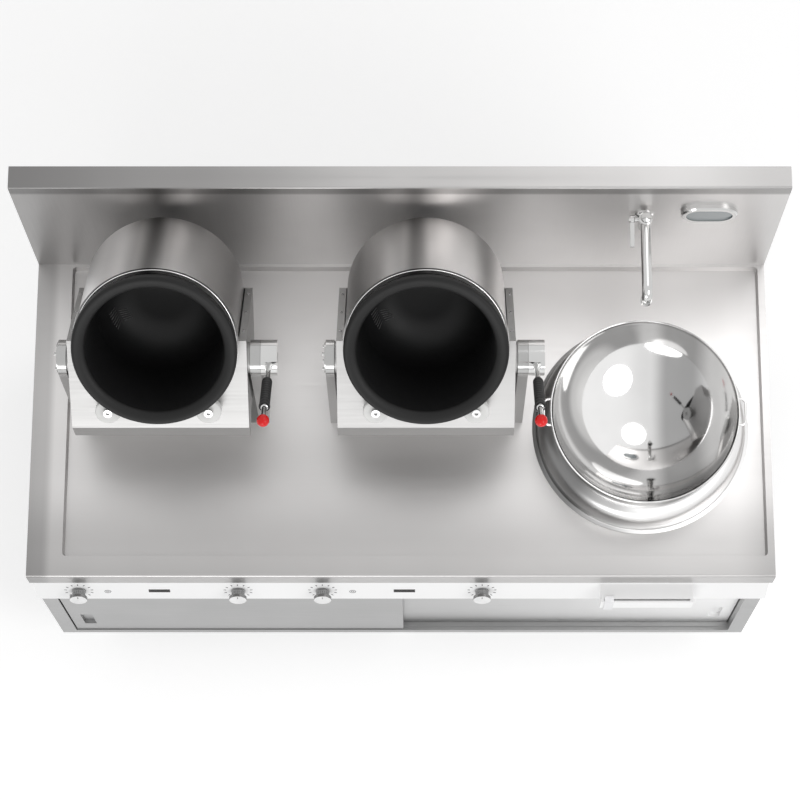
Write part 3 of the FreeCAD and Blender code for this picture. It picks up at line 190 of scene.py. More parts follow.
def setSockets(shader, **values):
    names = {"colour": "Base Color", "metallic": "Metallic", "roughness": "Roughness", "coat": "Coat Weight",
             "coatRoughness": "Coat Roughness", "specular": "Specular IOR Level", "anisotropic": "Anisotropic"}
    for key, value in values.items():
        socket = shader.inputs[names[key]]
        socket.default_value = (*value, 1.0) if key == "colour" else value


def objectPattern(nodes, links, scale=(1, 1, 1)):
    place = nodes.new("ShaderNodeTexCoord")
    mapping = nodes.new("ShaderNodeMapping")
    mapping.inputs["Scale"].default_value = scale
    links.new(place.outputs["Object"], mapping.inputs["Vector"])
    return mapping.outputs["Vector"]


def noise(nodes, links, vector, scale, detail=2.0, rough=0.5):
    texture = nodes.new("ShaderNodeTexNoise")
    texture.inputs["Scale"].default_value = scale
    texture.inputs["Detail"].default_value = detail
    texture.inputs["Roughness"].default_value = rough
    links.new(vector, texture.inputs["Vector"])
    return texture.outputs["Fac"]


def ramp(nodes, links, value, low, high, fromLow=0.3, fromHigh=0.7):
    spread = nodes.new("ShaderNodeMapRange")
    spread.inputs["From Min"].default_value = fromLow
    spread.inputs["From Max"].default_value = fromHigh
    spread.inputs["To Min"].default_value = low
    spread.inputs["To Max"].default_value = high
    links.new(value, spread.inputs["Value"])
    return spread.outputs["Result"]


def colourRamp(nodes, links, value, dark, light, low=0.3, high=0.7):
    blend = nodes.new("ShaderNodeValToRGB")
    blend.color_ramp.elements[0].position = low
    blend.color_ramp.elements[1].position = high
    blend.color_ramp.elements[0].color = (*dark, 1.0)
    blend.color_ramp.elements[1].color = (*light, 1.0)
    links.new(value, blend.inputs["Fac"])
    return blend.outputs["Color"]


def addBump(nodes, links, shader, height, strength, distance):
    bump = nodes.new("ShaderNodeBump")
    bump.inputs["Strength"].default_value = strength
    bump.inputs["Distance"].default_value = distance
    links.new(height, bump.inputs["Height"])
    links.new(bump.outputs["Normal"], shader.inputs["Normal"])


# multiplies a colour by grey steps laid out along one object axis, given as (place, tone)
def toneAlong(nodes, links, colour, vector, axis, steps):
    split = nodes.new("ShaderNodeSeparateXYZ")
    links.new(vector, split.inputs["Vector"])
    return toneSteps(nodes, links, colour, split.outputs[axis], steps)


def toneSteps(nodes, links, colour, value, steps):
    low, high = steps[0][0], steps[-1][0]
    most = max(tone for place, tone in steps)
    spread = ramp(nodes, links, value, 0.0, 1.0, low, high)
    bands = nodes.new("ShaderNodeValToRGB")
    bands.color_ramp.interpolation = "EASE"
    for index, (place, tone) in enumerate(steps):
        position = (place - low) / (high - low)
        if 0 < index < len(steps) - 1:
            mark = bands.color_ramp.elements.new(position)
        else:
            mark = bands.color_ramp.elements[0 if index == 0 else -1]
        mark.color = (tone / most, tone / most, tone / most, 1.0)
    links.new(spread, bands.inputs["Fac"])
    multiply = nodes.new("ShaderNodeVectorMath")
    multiply.operation = "MULTIPLY"
    links.new(colour, multiply.inputs[0])
    links.new(bands.outputs["Color"], multiply.inputs[1])
    lift = nodes.new("ShaderNodeVectorMath")
    lift.operation = "SCALE"
    lift.inputs["Scale"].default_value = most
    links.new(multiply.outputs["Vector"], lift.inputs[0])
    return lift.outputs["Vector"]


# angle about an upright line through the centre: 0 at the left, 0.25 in front, 0.5 at the right, 0.75 behind
def turnAbout(nodes, links, centre):
    place = nodes.new("ShaderNodeTexCoord")
    mapping = nodes.new("ShaderNodeMapping")
    mapping.inputs["Location"].default_value = (-centre[0], -centre[1], 0)
    links.new(place.outputs["Object"], mapping.inputs["Vector"])
    around = nodes.new("ShaderNodeTexGradient")
    around.gradient_type = "RADIAL"
    links.new(mapping.outputs["Vector"], around.inputs["Vector"])
    return around.outputs["Fac"]


# brushed sheet: long fine scratches along one direction, faint cloudy wear, and painted light, shade and reflection as
# steps of tone along axes and round an upright line
def brushedSteel(name, dark, light, roughness, grain, strength=0.04, paintedLightSteps=(), around=None):
    material, nodes, links, shader = newMaterial(name)
    setSockets(shader, metallic=1.0, anisotropic=0.35)
    lines = noise(nodes, links, objectPattern(nodes, links, grain), 1.0, 3.0, 0.6)
    clouds = noise(nodes, links, objectPattern(nodes, links), 2.6, 3.0, 0.55)
    colour = colourRamp(nodes, links, clouds, dark, light)
    # painted light, shade and reflection: the colour is stepped lighter and darker along axes and round an upright line
    for axis, steps in paintedLightSteps:
        colour = toneAlong(nodes, links, colour, objectPattern(nodes, links), axis, steps)
    if around:
        colour = toneSteps(nodes, links, colour, turnAbout(nodes, links, around[0]), around[1])
    links.new(colour, shader.inputs["Base Color"])
    links.new(ramp(nodes, links, lines, roughness - 0.03, roughness + 0.04), shader.inputs["Roughness"])
    addBump(nodes, links, shader, lines, strength, 0.0004)
    return material


def polishedMetal(name, colour, roughness, paintedLightSteps=()):
    material, nodes, links, shader = newMaterial(name)
    setSockets(shader, metallic=1.0, colour=colour)
    haze = noise(nodes, links, objectPattern(nodes, links), 14.0, 2.0)
    links.new(ramp(nodes, links, haze, roughness * 0.7, roughness * 1.4), shader.inputs["Roughness"])
    base = colourRamp(nodes, links, haze, tuple(channel * 0.96 for channel in colour), colour)
    # painted reflection: the colour is stepped lighter and darker along an axis
    for axis, steps in paintedLightSteps:
        base = toneAlong(nodes, links, base, objectPattern(nodes, links), axis, steps)
    links.new(base, shader.inputs["Base Color"])
    return material


def mouldedPlastic(name, colour, roughness, grainScale=900.0, coat=0.0, specular=0.5):
    material, nodes, links, shader = newMaterial(name)
    setSockets(shader, coat=coat, specular=specular)
    shade = tuple(channel * 0.88 for channel in colour)
    tone = noise(nodes, links, objectPattern(nodes, links), 30.0, 2.0)
    links.new(colourRamp(nodes, links, tone, shade, colour), shader.inputs["Base Color"])
    grain = noise(nodes, links, objectPattern(nodes, links), grainScale, 1.0)
    links.new(ramp(nodes, links, grain, roughness - 0.04, roughness + 0.06), shader.inputs["Roughness"])
    addBump(nodes, links, shader, grain, 0.08, 0.0002)
    return material


def blackCoating(name):
    material, nodes, links, shader = newMaterial(name)
    setSockets(shader, specular=0.42)
    speckle = noise(nodes, links, objectPattern(nodes, links), 420.0, 2.0, 0.6)
    colour = colourRamp(nodes, links, speckle, (0.0065, 0.0065, 0.007), (0.013, 0.013, 0.0135))
    links.new(colour, shader.inputs["Base Color"])
    links.new(ramp(nodes, links, speckle, 0.4, 0.56), shader.inputs["Roughness"])
    addBump(nodes, links, shader, speckle, 0.16, 0.0003)
    return material


def paintedSheet(name, colour, roughness=0.32):
    material, nodes, links, shader = newMaterial(name)
    setSockets(shader, coat=0.15, coatRoughness=0.2)
    tone = noise(nodes, links, objectPattern(nodes, links), 4.0, 2.0)
    shade = tuple(channel * 0.96 for channel in colour)
    links.new(colourRamp(nodes, links, tone, shade, colour), shader.inputs["Base Color"])
    peel = noise(nodes, links, objectPattern(nodes, links), 520.0, 1.0)
    links.new(ramp(nodes, links, peel, roughness - 0.04, roughness + 0.05), shader.inputs["Roughness"])
    addBump(nodes, links, shader, peel, 0.05, 0.0002)
    return material


def copperWinding(name, pitch):
    material, nodes, links, shader = newMaterial(name)
    setSockets(shader, metallic=0.9, roughness=0.35)
    wave = nodes.new("ShaderNodeTexWave")
    wave.inputs["Scale"].default_value = 1.0
    wave.inputs["Distortion"].default_value = 0.4
    wave.bands_direction = "DIAGONAL"
    links.new(objectPattern(nodes, links, (pitch, pitch, pitch)), wave.inputs["Vector"])
    colour = colourRamp(nodes, links, wave.outputs["Fac"], (0.20, 0.08, 0.04), (0.62, 0.30, 0.16))
    links.new(colour, shader.inputs["Base Color"])
    addBump(nodes, links, shader, wave.outputs["Fac"], 0.5, 0.0008)
    return material


def smokedWindow(name, colour, roughness, coat=0.6, specular=0.5):
    material, nodes, links, shader = newMaterial(name)
    setSockets(shader, colour=colour, coat=coat, coatRoughness=0.05, specular=specular)
    haze = noise(nodes, links, objectPattern(nodes, links), 60.0, 2.0)
    links.new(ramp(nodes, links, haze, roughness * 0.8, roughness * 1.3), shader.inputs["Roughness"])
    return material


# painted light and shade over the sheets, as (place in metres, tone) along an axis
counterPaintedLight = (
    ("X", ((-0.9, 0.62), (-0.865, 0.66), (-0.84, 0.97), (0.0, 1.02), (0.80, 1.12), (0.9, 0.9))),
    ("Y", ((-0.45, 0.76), (-0.32, 0.90), (-0.15, 1.25), (0.1, 1.42), (0.40, 1.2))),
)
splashPaintedLight = (
    ("X", ((-0.9, 0.72), (-0.5, 1.0), (0.0, 1.5), (0.6, 1.5), (0.9, 1.12))),
    ("Z", ((0.8, 1.0), (1.285, 1.0), (1.30, 0.54))),
)
# painted light on the right door, lighter towards the right
rightDoorPaintedLight = (("X", ((0.0, 0.85), (0.9, 1.5))),)
# painted reflection: bright and dark bands along each casing, measured across it from the drum's middle
casingPaintedReflection = {
    "drum_1": ((-0.20, 0.62), (-0.119, 1.25), (-0.082, 1.45), (-0.046, 0.95), (-0.012, 0.42),
               (0.027, 1.1), (0.055, 1.35), (0.10, 1.15), (0.156, 0.95), (0.20, 0.8)),
    "drum_2": ((-0.20, 0.70), (-0.114, 0.95), (-0.085, 1.15), (-0.055, 0.95), (-0.028, 0.5),
               (0.014, 1.15), (0.06, 1.5), (0.105, 1.4), (0.142, 0.95), (0.20, 1.2)),
}
# painted reflection and shade round the ring, as (part of a turn, tone)
ringPaintedReflection = ((0.0, 0.30), (0.12, 0.24), (0.19, 0.60), (0.25, 1.0), (0.50, 0.98),
             (0.62, 0.65), (0.75, 0.36), (0.88, 0.45), (1.0, 0.30))
# painted reflection across the pan, from its middle
wokPaintedReflection = ((-0.224, 1.0), (-0.06, 0.98), (0.02, 0.82), (0.065, 0.42), (0.12, 0.40), (0.17, 0.72), (0.224, 0.9))


def fromMiddle(middle, steps):
    return (("X", tuple((middle + place, tone) for place, tone in steps)),)


alongX, alongY, alongZ = (6, 340, 340), (300, 6, 300), (340, 340, 6)  # scratches per metre on each axis
formedGrain = (6, 300, 300)
spunGrain = (60, 60, 300)
# counter and backsplash steel with painted light and shade
counterSteel = brushedSteel("counterSteel", (0.52, 0.51, 0.505), (0.56, 0.55, 0.545), 0.36, alongX, 0.04, counterPaintedLight)
splashSteel = brushedSteel("splashSteel", (0.53, 0.52, 0.515), (0.58, 0.57, 0.565), 0.34, alongZ, 0.04, splashPaintedLight)
cabinetSteel = brushedSteel("cabinetSteel", (0.34, 0.34, 0.34), (0.38, 0.38, 0.38), 0.38, alongX)
# the right door is a lighter, painted-lit copy of the cabinet steel
rightDoorPaintedLightSteel = brushedSteel("rightDoorPaintedLightSteel", (0.52, 0.52, 0.52), (0.56, 0.56, 0.56), 0.38, alongX, 0.04,
                              rightDoorPaintedLight)
frameSteel = brushedSteel("frameSteel", (0.40, 0.397, 0.393), (0.44, 0.436, 0.432), 0.46, formedGrain, 0.02)
# ring steel with painted reflection and shade round the wok's centre
ringSteel = brushedSteel("ringSteel", (0.84, 0.835, 0.83), (0.90, 0.895, 0.89), 0.32, spunGrain, 0.02, (),
                         (wokPlace, ringPaintedReflection))
# pan steel with painted reflection across it
wokSteel = polishedMetal("wokSteel", (0.88, 0.875, 0.87), 0.07, fromMiddle(wokPlace[0], wokPaintedReflection))
chrome = polishedMetal("chrome", (0.62, 0.62, 0.615), 0.08)
knobChrome = polishedMetal("knobChrome", (0.30, 0.30, 0.30), 0.14)
bearingSteel = polishedMetal("bearingSteel", (0.44, 0.44, 0.435), 0.16)
boltSteel = polishedMetal("boltSteel", (0.52, 0.52, 0.52), 0.2)
trimBright = polishedMetal("trimBright", (0.92, 0.92, 0.915), 0.12)
aluminium = brushedSteel("aluminium", (0.70, 0.70, 0.71), (0.78, 0.78, 0.79), 0.35, alongY)
whitePaint = paintedSheet("whitePaint", (0.93, 0.93, 0.93))
motorPaint = paintedSheet("motorPaint", (0.09, 0.10, 0.11), 0.4)
potBlack = blackCoating("potBlack")
gripRubber = mouldedPlastic("gripRubber", (0.018, 0.018, 0.018), 0.55, 700.0)
blackPlastic = mouldedPlastic("blackPlastic", (0.02, 0.02, 0.02), 0.45)
rollerWhite = mouldedPlastic("rollerWhite", (0.80, 0.80, 0.785), 0.36)
ballRed = mouldedPlastic("ballRed", (0.80, 0.008, 0.008), 0.22, 300.0, 0.1, 0.3)
lampLens = smokedWindow("lampLens", (0.16, 0.19, 0.20), 0.12)
displayGlass = smokedWindow("displayGlass", (0.010, 0.008, 0.008), 0.2, 0.0, 0.15)
ceramicBlack = smokedWindow("ceramicBlack", (0.012, 0.012, 0.013), 0.08)
printInk = mouldedPlastic("printInk", (0.03, 0.03, 0.032), 0.5)
signGrey = mouldedPlastic("signGrey", (0.10, 0.10, 0.105), 0.5)
knobWhite = mouldedPlastic("knobWhite", (0.86, 0.86, 0.86), 0.3)
rimGrey = mouldedPlastic("rimGrey", (0.0115, 0.0115, 0.0115), 0.48, 500.0, 0.0, 0.26)
finGrey = mouldedPlastic("finGrey", (0.11, 0.11, 0.11), 0.45, 500.0)
coilCopper = copperWinding("coilCopper", 120.0)

nodeMaterials = {
    "counter_top": counterSteel, "backsplash": splashSteel, "cabinet_frame": cabinetSteel,
    "cabinet_sides": cabinetSteel, "cabinet_back": cabinetSteel, "cabinet_floor": cabinetSteel,
    "levelling_feet": boltSteel, "left_door": cabinetSteel, "right_door": rightDoorPaintedLightSteel,
    "control_fascia": whitePaint, "rotary_switches": blackPlastic, "display_windows": displayGlass,
    "power_slide": whitePaint, "slide_tab": aluminium, "wok_ring": ringSteel, "ceramic_bowl": ceramicBlack,
    "wok_coil": coilCopper, "wok": wokSteel, "wok_ears": wokSteel, "lamp_bezel": chrome, "lamp_lens": lampLens,
    "faucet_body": chrome, "faucet_spout": chrome, "faucet_lever": chrome, "inverters": aluminium,
    "supply_gland": blackPlastic,
}
drumMaterials = {
    "pot": potBlack, "pot_shaft": boltSteel, "coil": coilCopper, "gearmotor": motorPaint,
    "tilt_frame": frameSteel, "roller_left": rollerWhite, "roller_right": rollerWhite, "roller_bolts": boltSteel,
    "bearings": bearingSteel, "tilt_lever": chrome, "lever_grip": gripRubber, "pull_rod": chrome, "pull_ball": ballRed,
    "pedestal": frameSteel,
}
for drum in drumNames:
    for piece, material in drumMaterials.items():
        nodeMaterials[drum + "_" + piece] = material
    # casing steel with painted reflection bands along it
    nodeMaterials[drum + "_casing"] = brushedSteel(
        drum + "_casingSteel", (0.60, 0.59, 0.585), (0.66, 0.65, 0.645), 0.32, formedGrain, 0.02,
        fromMiddle(drumPlace[drum], casingPaintedReflection[drum]))
for knob in knobNames:
    nodeMaterials[knob] = knobChrome
for node, material in nodeMaterials.items():
    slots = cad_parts[node].material_slots
    for slot in slots:
        slot.material = material
print("materials set on", len(nodeMaterials), "nodes")

# drum pots: one smooth turned shell with a rolled rim, and slanted fins at the foot of the wall
potForm = {
    "floor": 0.058, "wall": 0.158, "depth": -0.183, "straight": -0.090, "shell": 0.004,
    "rimMiddle": 0.1815, "rimSide": 0.189, "rimLow": 0.0965, "rimHigh": 0.1055,
    "lip": (0.0235, 0.0165), "edge": (0.0075, 0.0075),
    "track": 0.176, "trackLow": 0.066, "trackInner": 0.1705, "steps": 128,
}
# each row: angle down the rounded foot, angle of the first fin, how many, slant
finForm = {"rows": ((-46, 194, 7, 25), (-62, 199, 6, -20)), "pitch": 3.0,
           "size": (0.022, 0.0020, 0.005), "edge": 0.0007}


def makePot(drum):
    f = potForm
    drop = f["straight"] - f["depth"]
    reach = f["wall"] - f["floor"]
    outline = [(0, f["depth"])]
    outline += bend((f["floor"], f["straight"]), (reach, drop), -90, 0, 14)
    outline += [(f["wall"], 0.03)]
    outline += bend((f["rimMiddle"], f["rimLow"]), f["lip"], 180, 90, 9)
    outline += bend((f["rimMiddle"], f["rimHigh"]), f["edge"], 90, 0, 6)
    outline += [(f["rimSide"], 0.097), (f["track"], 0.097), (f["track"], f["trackLow"]),
                (f["trackInner"], f["trackLow"]), (f["trackInner"], 0.092), (f["wall"] + f["shell"], 0.086)]
    outline += bend((f["floor"], f["straight"]), (reach + f["shell"], drop + f["shell"]), 0, -90, 14)
    outline += [(0, f["depth"] - f["shell"])]
    pot = turnOutline(drum + "_smoothPot", outline, f["steps"])
    pot.data.materials.append(potBlack)
    pot.data.materials.append(rimGrey)
    pickFaces(pot, lambda middle, normal: middle.z > f["rimLow"] - 0.001
              or (math.hypot(middle.x, middle.y) > f["trackInner"] - 0.0005 and middle.z > 0.06))
    pot.active_material_index = 1
    bpy.ops.object.material_slot_assign()
    bpy.ops.object.mode_set(mode="OBJECT")
    smooth(pot, 40)
    shift(pot, (0, tiltAxis["drumOffset"], 0))
    standOnDrum(pot, drum)
    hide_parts(drum + "_pot")
    setFinish(pot, potBlack, drum + "_turning_pot")
    pattern = roundedBlock("fin", (0, 0, 0), finForm["size"], finForm["edge"], 2)
    fins = []
    for height, first, count, slant in finForm["rows"]:
        turn = math.radians(height)
        lean = math.atan2(-math.cos(turn) / reach, -math.sin(turn) / drop)
        foot = (f["floor"] + reach * math.cos(turn), 0, f["straight"] + drop * math.sin(turn))
        for step in range(count):
            fin = shift(copyOf(pattern), (0, 0, 0), (0, 0, math.radians(slant)))
            shift(fin, foot, (0, lean, 0))
            spread = math.radians(first + step * finForm["pitch"])
            fins.append(shift(fin, (0, tiltAxis["drumOffset"], 0), (0, 0, spread)))
    removePattern(pattern)
    patch = joinPieces(drum + "_mixingFins", fins)
    smooth(patch, 40)
    standOnDrum(patch, drum)
    setFinish(patch, finGrey, drum + "_turning_pot")


# bright rolled edge round the front of the casing
trimForm = {"radius": 0.1846, "front": 0.0642, "section": 0.0014, "steps": 160}


def makeTrim(drum):
    f = trimForm
    section = bend((f["radius"], f["front"]), (f["section"], f["section"]), 0, 360, 12)
    trim = turnOutline(drum + "_casingEdge", section, f["steps"])
    smooth(trim, 60)
    shift(trim, (0, tiltAxis["drumOffset"], 0))
    standOnDrum(trim, drum)
    setFinish(trim, trimBright, drum + "_tilting_unit")


# tilt lever: ribbed rubber grip, stop ring at its end, and the ball
leverForm = {"x": 0.25525, "gripStart": 0.113, "gripEnd": 0.233, "bore": 0.00615, "grip": 0.012,
             "ribs": 9, "ribDeep": 0.0014, "ribSlope": 0.0015, "stopRadius": 0.0118, "stopAhead": 0.0018,
             "stopSection": 0.0014, "ballCentre": 0.300, "ball": 0.01425, "ballSeat": 0.0046, "steps": 48}


def makeLeverPieces(drum):
    f = leverForm
    start, end, bore, radius = f["gripStart"], f["gripEnd"], f["bore"], f["grip"]
    outline = [(bore, start), (radius - 0.0035, start), (radius - 0.001, start + 0.0015), (radius, start + 0.005)]
    pitch = (end - start - 0.024) / f["ribs"]
    for rib in range(f["ribs"]):
        z = start + 0.012 + rib * pitch
        low = radius - f["ribDeep"]
        rise = z + pitch * 0.45
        outline += [(radius, z), (low, z + f["ribSlope"]), (low, rise), (radius, rise + f["ribSlope"])]
    outline += [(radius, end - 0.006), (radius - 0.001, end - 0.002), (radius - 0.003, end), (bore, end), (bore, start)]
    grip = turnOutline(drum + "_ribbedGrip", outline, f["steps"])
    smooth(grip, 50)
    shift(grip, (f["x"], 0, 0))
    standOnDrum(grip, drum)
    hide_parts(drum + "_lever_grip")
    setFinish(grip, gripRubber, drum + "_tilting_unit")

    middle = (f["stopRadius"], end + f["stopAhead"])
    section = bend(middle, (f["stopSection"], f["stopSection"]), 0, 360, 12)
    stop = turnOutline(drum + "_gripRing", section, f["steps"])
    smooth(stop, 60)
    shift(stop, (f["x"], 0, 0))
    standOnDrum(stop, drum)
    setFinish(stop, gripRubber, drum + "_tilting_unit")

    r, z = f["ball"], f["ballCentre"]
    outline = [(0, z - r + 0.0012), (f["ballSeat"], z - r + 0.0012)]
    outline += bend((0, z), (r, r), -69, -1.5, 14) + [(r - 0.00025, z)]  # fine parting line round the middle
    outline += bend((0, z), (r, r), 1.5, 90, 18)
    ball = turnOutline(drum + "_smoothBall", outline, 64)
    smooth(ball, 60)
    shift(ball, (f["x"], 0, 0))
    standOnDrum(ball, drum)
    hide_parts(drum + "_pull_ball")
    setFinish(ball, ballRed, drum + "_lock")


# socket head screw, drawn upright with its seat at height 0
def makeScrew(name, radius, height):
    deselectAll()
    bpy.ops.mesh.primitive_cylinder_add(vertices=24, radius=radius, depth=height, location=(0, 0, height / 2))
    screw = bpy.context.object
    screw.name = name
    applyPlace(screw)
    pickFaces(screw, lambda middle, normal: normal.z > 0.9)
    bpy.ops.mesh.inset(thickness=radius * 0.12, depth=radius * 0.08)
    bpy.ops.mesh.inset(thickness=radius * 0.38, depth=0)
    bpy.ops.mesh.extrude_region_move(TRANSFORM_OT_translate={"value": (0, 0, -height * 0.6)})
    bpy.ops.object.mode_set(mode="OBJECT")
    smooth(screw, 35)
    return screw


screwForm = {"radius": 0.0036, "height": 0.0022, "sideX": 0.1975, "stripY": 0.0686,
             "along": (0.0, -0.095, -0.190)}


def makeFrameScrews(drum):
    f = screwForm
    pattern = makeScrew("screw", f["radius"], f["height"])
    screws = []
    for side in (-1, 1):
        for z in f["along"]:
            place = (side * f["sideX"], f["stripY"], z)
            screws.append(shift(copyOf(pattern), place, (math.radians(-90), 0, 0)))
    removePattern(pattern)
    rack = joinPieces(drum + "_frameScrews", screws)
    standOnDrum(rack, drum)
    setFinish(rack, boltSteel, drum + "_tilting_unit")


for drum in drumNames:
    makePot(drum)
    makeTrim(drum)
    makeLeverPieces(drum)
    makeFrameScrews(drum)
print("drums: pots, grips, balls and screws made")

# wok station: smooth pan with a rolled edge, and the pressed ring that it stands over
wokForm = {"rim": 0.224, "sphere": 0.245, "wall": 0.0015, "bottom": 0.7964, "bead": 0.0030, "steps": 160}
ringForm = {"foot": 0.780, "edge": 0.2635, "shoulderFoot": 0.254, "crest": 0.860, "crestRadius": 0.212,
            "wall": 0.0025, "ledge": 0.8490, "ledgeInner": 0.163, "ledgeOuter": 0.178,
            "shoulder": (0.0385, 0.0575), "shoulderIn": 0.040, "shoulderUp": 0.022, "steps": 160}


def makeWok():
    f = wokForm
    outer = f["sphere"] + f["wall"]
    middle = f["bottom"] + outer
    most = math.degrees(math.asin(f["rim"] / outer))
    outside = bend((0, middle), (outer, outer), -90, -90 + most, 30)
    mostInside = math.degrees(math.asin((f["rim"] - 0.0013) / f["sphere"]))
    inside = bend((0, middle), (f["sphere"], f["sphere"]), -90 + mostInside, -90, 30)
    rimZ = outside[-1][1]
    roll = bend((f["rim"] + 0.0012, rimZ + 0.0008), (f["bead"] - 0.0008, f["bead"] - 0.0006), -70, 200, 10)
    pan = turnOutline("smoothWok", outside[:-1] + roll + inside[1:], f["steps"])
    smooth(pan, 50)
    shift(pan, (wokPlace[0], wokPlace[1], 0))
    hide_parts("wok")
    setFinish(pan, wokSteel, "wok_pan")


def makeRing():
    f = ringForm
    wall, radius, shoulder, foot = f["wall"], f["crestRadius"], f["shoulderFoot"], f["foot"]
    middle = (shoulder - f["shoulderIn"], foot + f["shoulderUp"])
    inner = (f["shoulder"][0] - wall, f["shoulder"][1] - wall)
    neck = f["crest"] - 0.0045
    upper = [(f["edge"], foot), (f["edge"], foot + 0.0025), (f["edge"] - 0.0008, foot + 0.003),
             (shoulder + 0.003, foot + 0.0032), (shoulder + 0.0008, foot + 0.0045), (shoulder - 0.0008, foot + 0.0085)]
    upper += bend(middle, f["shoulder"], 0, 92, 18)
    upper += [(radius - 0.004, f["crest"] - 0.0015), (radius - 0.012, neck), (f["ledgeOuter"], f["ledge"]),
              (f["ledgeInner"], f["ledge"])]
    lower = [(f["ledgeInner"], f["ledge"] - wall), (f["ledgeOuter"] - 0.0005, f["ledge"] - wall),
             (radius - 0.012, neck - wall)]
    lower += bend(middle, inner, 92, 0, 14)
    lower += [(shoulder - 0.0035, foot + 0.010), (shoulder - 0.006, foot), (f["edge"], foot)]
    ring = turnOutline("smoothRing", upper + lower, f["steps"])
    smooth(ring, 40)
    shift(ring, (wokPlace[0], wokPlace[1], 0))
    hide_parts("wok_ring")
    setFinish(ring, ringSteel, "range")


makeWok()
makeRing()
print("wok and its ring made")

# control knobs: turned body with a fluted edge, and a dark pointer line
knobForm = {"neck": 0.0162, "foot": 0.0174, "cap": 0.0213, "length": 0.0260, "gap": 0.001, "shoulder": 0.0125,
            "capLow": 0.0175, "round": 0.0016, "flutes": 36, "fluteIn": 0.0003, "fluteDeep": 0.0005,
            "pointer": (0.0016, 0.0090, 0.0008), "pointerOut": 0.0125, "pointerEdge": 0.0003}
fasciaFace = {"y": -0.40847, "z": 0.69012, "tilt": math.radians(77.196)}
fasciaDown = (0, -0.22162, -0.97513)


def onFascia(obj, x, down=0.0):
    place = (x, fasciaFace["y"] + down * fasciaDown[1], fasciaFace["z"] + down * fasciaDown[2])
    return shift(obj, place, (fasciaFace["tilt"], 0, 0))


def makeKnob(knob):
    f = knobForm
    neck, cap, top, low, gap = f["neck"], f["cap"], f["length"], f["shoulder"], f["gap"]
    outline = [(0, gap), (f["foot"], gap), (f["foot"], gap + 0.0018), (neck, gap + 0.0026), (neck, low)]
    outline += bend((cap - 0.0005, low), (cap - 0.0005 - neck, 0.0042), 180, 90, 6)
    outline += [(cap, f["capLow"]), (cap, top - f["round"])]
    outline += bend((cap - f["round"], top - f["round"]), (f["round"], f["round"]), 0, 90, 5)
    outline += [(cap - 0.0034, top), (cap - 0.0040, top - 0.0005), (0, top - 0.0005)]
    body = turnOutline(knob + "_turned", outline, f["flutes"] * 2)
    body.data.materials.append(knobChrome)
    body.data.materials.append(knobWhite)
    pickFaces(body, lambda middle, normal: abs(normal.z) < 0.2 and f["capLow"] + 0.0001 < middle.z < top - 0.0017
              and round(math.degrees(math.atan2(middle.y, middle.x)) / 5 - 0.5) % 2 == 0)
    bpy.ops.mesh.inset(thickness=f["fluteIn"], depth=-f["fluteDeep"], use_individual=True)
    bpy.ops.object.mode_set(mode="OBJECT")
    pickFaces(body, lambda middle, normal: normal.z > 0.6 and middle.z > top - 0.002)
    body.active_material_index = 1
    bpy.ops.object.material_slot_assign()
    bpy.ops.object.mode_set(mode="OBJECT")
    smooth(body, 30)
    onFascia(body, knobPlace[knob])
    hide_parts(knob)
    setFinish(body, knobChrome, knob + "_body")

    place = (0, f["pointerOut"], top - f["pointer"][2] / 2)
    pointer = roundedBlock(knob + "_pointer", place, f["pointer"], f["pointerEdge"], 2)
    onFascia(pointer, knobPlace[knob])
    setFinish(pointer, printInk, knob + "_body")


# printed scale round each knob, and a small round sign beside two of them
scaleForm = {"radius": 0.0325, "ticks": 11, "sweep": 270, "tick": (0.0024, 0.0062, 0.0003), "edge": 0.00008}
signForm = {"rings": ((0.0066, 0.0016), (0.0024, 0.0016)), "thick": 0.0002, "steps": 28, "down": 0.004,
            "places": (-0.715, -0.118)}


def makeScale(knob):
    f = scaleForm
    place = (0, f["radius"], f["tick"][2] / 2)
    pattern = roundedBlock("tick", place, f["tick"], f["edge"], 1)
    ticks = []
    for index in range(f["ticks"]):
        turn = math.radians(-f["sweep"] / 2 + f["sweep"] * index / (f["ticks"] - 1))
        ticks.append(shift(copyOf(pattern), (0, 0, 0), (0, 0, turn)))
    removePattern(pattern)
    scale = joinPieces(knob + "_scale", ticks)
    onFascia(scale, knobPlace[knob])
    setFinish(scale, printInk, "range")


def makeSign(name, x):
    f = signForm
    rings = []
    for radius, width in f["rings"]:
        outer, thick = radius + width, f["thick"]
        outline = [(radius, 0), (outer, 0), (outer, thick), (radius, thick), (radius, 0)]
        rings.append(turnOutline(name, outline, f["steps"]))
    sign = joinPieces(name, rings)
    onFascia(sign, x, f["down"])
    setFinish(sign, signGrey, "range")


for knob in knobNames:
    makeKnob(knob)
    makeScale(knob)
for index, x in enumerate(signForm["places"]):
    makeSign("heatSign_" + str(index + 1), x)
print("knobs, scales and signs made")

# screws in the back panel
panelScrews = {"radius": 0.0050, "height": 0.0020, "sunk": 0.0003, "backX": (-0.80, -0.40, 0.0, 0.40, 0.80),
               "backZ": (0.222, 0.682)}


def makePanelScrews():
    f = panelScrews
    low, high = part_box("cabinet_back")
    pattern = makeScrew("screw", f["radius"], f["height"])
    screws = []
    for x in f["backX"]:
        for z in f["backZ"]:
            place = (x, high[1] - f["height"] - f["sunk"], z)
            screws.append(shift(copyOf(pattern), place, (math.radians(-90), 0, 0)))
    removePattern(pattern)
    rack = joinPieces("backScrews", screws)
    setFinish(rack, boltSteel, "range")


makePanelScrews()
print("panel screws made")


